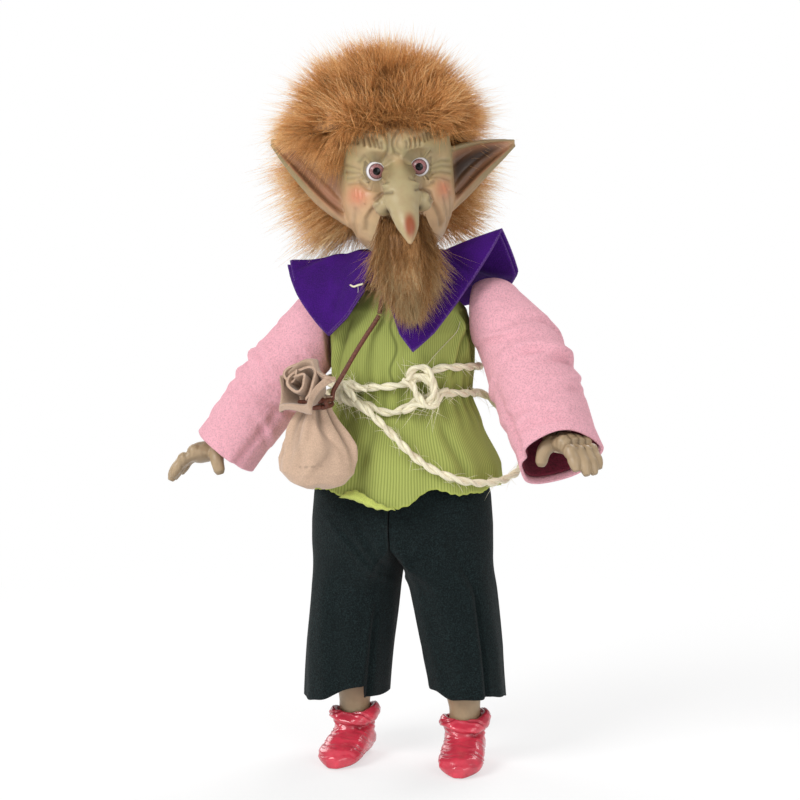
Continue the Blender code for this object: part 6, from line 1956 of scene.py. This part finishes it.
def build_ruffle():
    """The gathered mouth of the pouch: a flared frill folded into a rosette round a curl."""
    neck = pouch_neck() + np.array([-0.0012, -0.001, 0.004])
    aim = unit(np.array([-0.36, -0.78, 0.5]))
    side = unit(np.cross(aim, [0, 0, 1.0]))
    other = np.cross(side, aim)

    def stand(across, upward, out):
        return neck + side * across[..., None] + other * upward[..., None] + aim * out[..., None]

    rows, columns = 34, 260
    t = np.linspace(0, 1, rows)[:, None]
    angle = turns(columns)[None]
    radius = 0.0056 + 0.0082 * t**0.8
    lobe = 0.0023 * t * (1 + 0.4 * np.cos(angle * 2 + 0.4))
    turned = -4 * angle + 0.9 + 0.6 * t
    across = radius * np.cos(angle) + lobe * np.cos(turned)
    upward = radius * 0.96 * np.sin(angle) + lobe * np.sin(turned)
    out = 0.0108 * np.sin(t * 2.1) + 0.0012 * t * np.cos(5 * angle + 1) - 0.0026 * t**4
    frill = stand(across, upward, out)
    down, along = np.gradient(frill, axis=0), np.gradient(frill, axis=1)
    along[:, 0] = (frill[:, 1] - frill[:, -1]) / 2
    along[:, -1] = (frill[:, 0] - frill[:, -2]) / 2
    back = frill + unit(np.cross(down, along)) * 0.0014
    rim = (frill[-1:] + back[-1:]) / 2 + aim * 0.0005
    shape = Shape().rings(np.concatenate([frill, rim, back[::-1]], 0), closed=True)
    deep = np.concatenate([1 - t, [[0]], (1 - t)[::-1]], 0) * np.ones(columns)
    marks = [deep.ravel()]
    for centre, begin, wraps, start, grow, tall in (
        ((-0.001, 0.0008), 0.3, 1.6, 0.0014, 0.007, 0.0136),
        ((0.005, 0.0046), 2.6, 0.9, 0.002, 0.0036, 0.0124),
    ):
        share = np.linspace(0, 1, 110)[None]
        t = np.linspace(0.2, 1, 14)[:, None]
        angle = begin + share * wraps * math.tau
        radius = (start + grow * share) * (0.6 + 0.4 * np.sin(t * 1.9))
        radius = radius * (1 + 0.1 * np.cos(angle * 3))
        across = centre[0] + radius * np.cos(angle)
        upward = centre[1] + radius * np.sin(angle)
        out = tall * np.sin(t * 1.75) * (1.0 - 0.22 * share) + 0.0006 * np.cos(angle * 2)
        front = stand(across, upward, out)
        back = stand(across + 0.0013 * np.cos(angle), upward + 0.0013 * np.sin(angle), out)
        curl = sheet_shape(front, back)
        shape.add(curl.points[0], curl.faces)
        deep = (1 - (t - 0.2) / 0.8) * np.ones(110)
        marks.append(np.concatenate([deep.ravel(), deep.ravel()]))
    mesh = shape.mesh("ruffle")
    # Painted shade that darkens the rosette towards its middle and the curls towards their roots
    mark(mesh, "wash", 0.06 + 0.62 * np.concatenate(marks) ** 1.2)
    return mesh


# Stage


WHITE = (1, 1, 1)
CAMERA_TURN, CAMERA_LIFT = math.radians(15), math.radians(6)
CAMERA_LENS = 97.83
CAMERA_AIM = (0, 0, 0.168)
CAMERA_SHIFT = 0.001
LAMPS = (
    ("key", (-0.75, -1.15, 1.05), (0, 0, 0.19), 0.7, 17.0),
    ("fill", (1.05, -0.95, 0.55), (0, 0, 0.16), 0.9, 6.5),
    ("back", (0.25, 1.0, 1.15), (0, 0, 0.20), 0.8, 9.0),
    ("back_left", (-1.0, 0.7, 0.6), (0, 0, 0.18), 0.7, 5.0),
)


def lay_floor(link):
    """A pale floor that fades to white away from the doll."""
    floor = Finish("pale floor", {"Roughness": 0.9})
    floor.colour(colours().floor)
    rays = Reading(floor, floor.node("ShaderNodeLightPath").outputs["Is Camera Ray"])
    glow = floor.node("ShaderNodeEmission", None, {"Color": WHITE, "Strength": 1.0})
    far = Reading(floor, floor.vector("LENGTH", floor.place)).step(0.16, 0.50)
    sockets = {0: rays * (far * 0.40 + 0.60), 1: floor.shader.outputs[0], 2: glow.outputs[0]}
    mixed = floor.node("ShaderNodeMixShader", None, sockets)
    floor.put(floor.tree.nodes["Material Output"].inputs["Surface"], mixed.outputs[0])
    around = turns(64)
    disc = np.stack([8 * np.cos(around), 8 * np.sin(around), 0 * around], -1)
    mesh = bpy.data.meshes.new("floor")
    mesh.from_pydata(disc.tolist(), [], [list(range(64))])
    mesh.materials.append(floor.material)
    ground = bpy.data.objects.new("floor", mesh)
    ground.location.z = -0.00005
    link(ground)


def build_stage():
    """The floor, a white studio round it, four lamps and the camera."""
    scene = bpy.context.scene
    link = scene.collection.objects.link
    lay_floor(link)
    world = scene.world = bpy.data.worlds.new("studio")
    world.use_nodes = True
    studio = Nodes(world.node_tree)
    studio.tree.nodes.clear()
    sockets = {0: studio.node("ShaderNodeLightPath").outputs["Is Camera Ray"]}
    for slot, strength in ((1, 0.38), (2, 1.0)):
        light = {"Color": WHITE, "Strength": strength}
        sockets[slot] = studio.node("ShaderNodeBackground", None, light).outputs[0]
    mixed = studio.node("ShaderNodeMixShader", None, sockets)
    studio.node("ShaderNodeOutputWorld", None, {"Surface": mixed.outputs[0]})

    for name, place, aim, size, power in LAMPS:
        data = bpy.data.lights.new(name, "AREA")
        data.size = size
        data.energy = power
        lamp = bpy.data.objects.new(name, data)
        lamp.location = place
        lamp.rotation_euler = (Vector(aim) - Vector(place)).to_track_quat("-Z", "Y").to_euler()
        link(lamp)

    data = bpy.data.cameras.new("camera")
    data.sensor_width = 36.0
    data.lens = CAMERA_LENS
    data.clip_start, data.clip_end = 0.01, 20
    camera = bpy.data.objects.new("camera", data)
    sin, cos, level = math.sin(CAMERA_TURN), math.cos(CAMERA_TURN), math.cos(CAMERA_LIFT)
    back = Vector((sin * level, -cos * level, math.sin(CAMERA_LIFT)))
    camera.location = Vector(CAMERA_AIM) - Vector((cos, sin, 0)) * CAMERA_SHIFT + back
    camera.rotation_euler = (-back).to_track_quat("-Z", "Y").to_euler()
    link(camera)
    scene.camera = camera
    scene.view_settings.view_transform = "Standard"


# Operators


class StageOperator(bpy.types.Operator):
    """Adds the floor, the lamps and the camera"""

    bl_idname = "doll.stage"
    bl_label = "Stage"

    def execute(self, context):
        build_stage()
        return {"FINISHED"}


class InnerOperator(bpy.types.Operator):
    """Gives the hidden torso and neck peg their cloth and wood"""

    bl_idname = "doll.inner"
    bl_label = "Body and neck peg"

    def execute(self, context):
        for name, make in (("torso_body", body_cloth), ("neck_peg", turned_wood)):
            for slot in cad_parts[name].material_slots:
                slot.material = finish(make)
        return {"FINISHED"}


class HeadOperator(bpy.types.Operator):
    """Models the painted head with its nose, ears and creases"""

    bl_idname = "doll.head"
    bl_label = "Head"

    def execute(self, context):
        show("painted_head", build_head(), finish(painted_face), "head", "skin", "head")
        return {"FINISHED"}


class EyesOperator(bpy.types.Operator):
    """Sets the two glass eyes"""

    bl_idname = "doll.eyes"
    bl_label = "Glass eyes"

    def execute(self, context):
        for side in SIDES:
            mesh = build_eye(side)
            show("glass_eye_" + side, mesh, finish(glass_eye), "head", "eye_glass", "eye_" + side)
        return {"FINISHED"}


class FurOperator(bpy.types.Operator):
    """Grows the fur mop: underfur, hairs, strays and side locks"""

    bl_idname = "doll.fur"
    bl_label = "Fur mop"

    def execute(self, context):
        fur = finish(fur_finish, "ginger fur")
        show("fur_mass", build_mop(), finish(fur_finish, "underfur"), "head", "hair_fur", "wig")
        for name, groups in fur_groups():
            show(name, hair_mesh(name, groups), fur, "head", "hair_fur", outwards=False)
        fur = finish(fur_finish, "lock fur")
        for name, rows, loose, sag in (
            ("fur_locks", SIDE_LOCKS, 0.0030, 0.10),
            ("fur_nape", NAPE_LOCKS, 0.0046, 0.12),
        ):
            groups = locks(rows, loose, sag)
            show(name, hair_mesh(name, groups), fur, "head", "hair_fur", outwards=False)
        return {"FINISHED"}


class BeardOperator(bpy.types.Operator):
    """Grows the beard and the moustache"""

    bl_idname = "doll.beard"
    bl_label = "Beard"

    def execute(self, context):
        fur = finish(fur_finish, "beard fur")
        show("beard_mass", build_beard_mass(), fur, "head", "beard_fur", "beard")
        mesh = hair_mesh("beard_hairs", beard_hairs())
        show("beard_hairs", mesh, fur, "head", "beard_fur", outwards=False)
        return {"FINISHED"}


class VestOperator(bpy.types.Operator):
    """Sews the needlecord waistcoat with its pinked hem"""

    bl_idname = "doll.vest"
    bl_label = "Waistcoat"

    def execute(self, context):
        vest = show("waistcoat", build_vest(), finish(needlecord), "torso", "needlecord", "vest")
        turned = build_turned_hem()
        turned = show("turned_hem", turned, finish(vest_reverse), "torso", "needlecord")
        return {"FINISHED"}


class CollarOperator(bpy.types.Operator):
    """Cuts the two layers of the felt collar"""

    bl_idname = "doll.collar"
    bl_label = "Felt collar"

    def execute(self, context):
        felt = finish(purple_felt)
        upper = show("collar_upper", build_collar(1.0, 0.0), felt, "torso", "purple_felt", "collar")
        under = show("collar_under", build_collar(0.965, 0.0019), felt, "torso", "purple_felt")
        threads = loose_threads().mesh("threads")
        show("loose_threads", threads, finish(sisal), "torso", "sisal")
        return {"FINISHED"}


class ArmsOperator(bpy.types.Operator):
    """Sews the fleece sleeves over the stuffed arms"""

    bl_idname = "doll.arms"
    bl_label = "Sleeves and arms"

    def execute(self, context):
        c = colours()
        for side in SIDES:
            body = "arm_" + side
            sleeve, lining = build_sleeve(side)
            pink = finish(fleece, "pink fleece", c.sleeve)
            # The inside of each sleeve is the fleece in painted shade: a dark red with a darker nap
            shaded_pink = finish(fleece, "crimson fleece", c.lining, 0.5)
            show("fleece_sleeve_" + side, sleeve, pink, body, "fleece", "sleeve_" + side)
            show("sleeve_lining_" + side, lining, shaded_pink, body, "fleece")
            arm, cloth = build_arm(side), finish(body_cloth)
            show("stuffed_arm_" + side, arm, cloth, body, "body_cloth", "arm_" + side)
        return {"FINISHED"}


class HandsOperator(bpy.types.Operator):
    """Models the two cast hands"""

    bl_idname = "doll.hands"
    bl_label = "Hands"

    def execute(self, context):
        for side in SIDES:
            body = "hand_" + side
            show("cast_hand_" + side, build_hand(side), finish(painted_hand), body, "skin", body)
        return {"FINISHED"}


class TrousersOperator(bpy.types.Operator):
    """Sews the felt trousers, one half for each leg"""

    bl_idname = "doll.trousers"
    bl_label = "Trousers"

    def execute(self, context):
        for side in SIDES:
            bend = ("torso", "leg_" + side, (0, 0, 0.112), (0, 0, 0.086))
            nodes = ["trouser_leg_" + side] + (["trouser_seat"] if side == "right" else [])
            half, felt = build_trouser(side), finish(dark_felt)
            show("felt_trouser_" + side, half, felt, bend, "trouser_felt", *nodes)
        return {"FINISHED"}


class LegsOperator(bpy.types.Operator):
    """Models the ankles and the slouched boots"""

    bl_idname = "doll.legs"
    bl_label = "Legs and boots"

    def execute(self, context):
        for side in SIDES:
            body = "leg_" + side
            leg, boot = build_leg(side), build_boot(side)
            show("stuffed_leg_" + side, leg, finish(painted_hand), body, "skin", body)
            show("slouch_boot_" + side, boot, finish(red_vinyl), body, "boot_red", "boot_" + side)
        return {"FINISHED"}


class BeltOperator(bpy.types.Operator):
    """Lays the two turns of sisal rope, their knots and the sagging tail"""

    bl_idname = "doll.belt"
    bl_label = "Rope belt"

    def execute(self, context):
        diameter = sizes().rope_diameter
        rope = finish(sisal)
        fibres = []
        for name, rows, seed in (("upper", UPPER_TURN, 41), ("lower", LOWER_TURN, 42)):
            path = belt_path(rows)
            turn = twisted(Shape(), path, diameter, closed=True).mesh("turn")
            show("rope_turn_" + name, turn, rope, "torso", "sisal", "belt_rope_" + name)
            fibres.append(rope_fibres(path, diameter, 110, seed))
        for name, at, height, routes, seed in (
            ("centre", -65, 0.1765, CENTRE_STRANDS, 43),
            ("side", -117, 0.173, SIDE_STRANDS, 44),
        ):
            shape = Shape()
            for i, route in enumerate(routes):
                path = knot_path(at, height, route, 60)
                twisted(shape, path, diameter * 0.95, start=i * 1.3)
                fibres.append(rope_fibres(path, diameter, 34, seed + 10 * i, (0.004, 0.013)))
            knot = shape.mesh("knot")
            show("rope_knot_" + name, knot, rope, "torso", "sisal", "belt_knot_" + name)
        path = curve(TAIL_ROUTE, 240)
        tail = twisted(Shape(), path, diameter).mesh("tail")
        tail = show("rope_end", tail, rope, "torso", "sisal", "rope_tail")
        path_length(path)
        fibres.append(rope_fibres(path, diameter, 130, 48))
        mesh = hair_mesh("rope_fibres", fibres)
        show("rope_fibres", mesh, rope, "torso", "sisal", outwards=False)
        return {"FINISHED"}


class PouchOperator(bpy.types.Operator):
    """Hangs the gathered pouch on its leather thong"""

    bl_idname = "doll.pouch"
    bl_label = "Pouch and thong"

    def execute(self, context):
        radius = sizes().thong_diameter / 2
        brown, beige = finish(leather), finish(pouch_cloth)
        loop = Shape().tube(neck_loop_path(), radius)
        show("thong_loop", loop.mesh("loop"), brown, "torso", "leather", "thong_neck_loop")
        path = thong_path()
        run = Shape().tube(path, radius).mesh("run")
        thong = show("thong_drop", run, brown, "pouch", "leather", "thong_run")
        path_length(path)
        neck = pouch_neck()
        angle = turns(60)
        tie = Shape()
        reach = POUCH_NECK_RADIUS + radius + 0.0002
        for level, turn in ((-0.0007, 0.0), (0.0010, 1.8)):
            level = level + 0.0007 * np.sin(angle + turn)
            ring = neck + np.stack([reach * np.cos(angle), reach * np.sin(angle), level], -1)
            side, other = crosswise(ring, True)[1:]
            tie.rings(hoops(ring, side, other, radius, radius, 14), closed=True)
        knot_at = neck + (reach * 0.75, -reach * 0.7, 0.0004)
        knot = ((-1.5, 0, 1.8), (0.6, -1.4, 1.2), (1.4, -0.8, -1.2), (-0.8, -1.2, -1.8))
        tie.tube(curve(knot_at + np.array(knot) * MM, 24), radius, 12)
        show("thong_tie", tie.mesh("tie"), brown, "pouch", "leather", "pouch_tie")
        bag = show("pouch_bag_cloth", build_bag(), beige, "pouch", "pouch_cloth", "pouch_bag")
        show("pouch_rosette", build_ruffle(), beige, "pouch", "pouch_cloth", "pouch_ruffle")
        return {"FINISHED"}


class DollPanel(bpy.types.Panel):
    """Lists the doll's sizes, colours and pieces in the sidebar"""

    bl_idname = "VIEW3D_PT_doll"
    bl_label = "Goblin doll"
    bl_space_type = "VIEW_3D"
    bl_region_type = "UI"
    bl_category = "Doll"

    def draw(self, context):
        for group in (context.scene.doll_sizes, context.scene.doll_colours):
            box = self.layout.box()
            for name in group.__annotations__:
                box.prop(group, name)
        for operator in OPERATORS:
            self.layout.operator(operator.bl_idname)


OPERATORS = (
    StageOperator,
    BeltOperator,
    InnerOperator,
    HeadOperator,
    EyesOperator,
    FurOperator,
    BeardOperator,
    VestOperator,
    CollarOperator,
    ArmsOperator,
    HandsOperator,
    TrousersOperator,
    LegsOperator,
    PouchOperator,
)
CLASSES = (DollColours, DollSizes, *OPERATORS, DollPanel)


def register():
    for each in CLASSES:
        bpy.utils.register_class(each)
    bpy.types.Scene.doll_colours = bpy.props.PointerProperty(type=DollColours)
    bpy.types.Scene.doll_sizes = bpy.props.PointerProperty(type=DollSizes)


def unregister():
    del bpy.types.Scene.doll_colours
    del bpy.types.Scene.doll_sizes
    for each in reversed(CLASSES):
        bpy.utils.unregister_class(each)


def main():
    register()
    for operator in OPERATORS:
        group, name = operator.bl_idname.split(".")
        getattr(getattr(bpy.ops, group), name)()


if __name__ == "__main__":
    main()
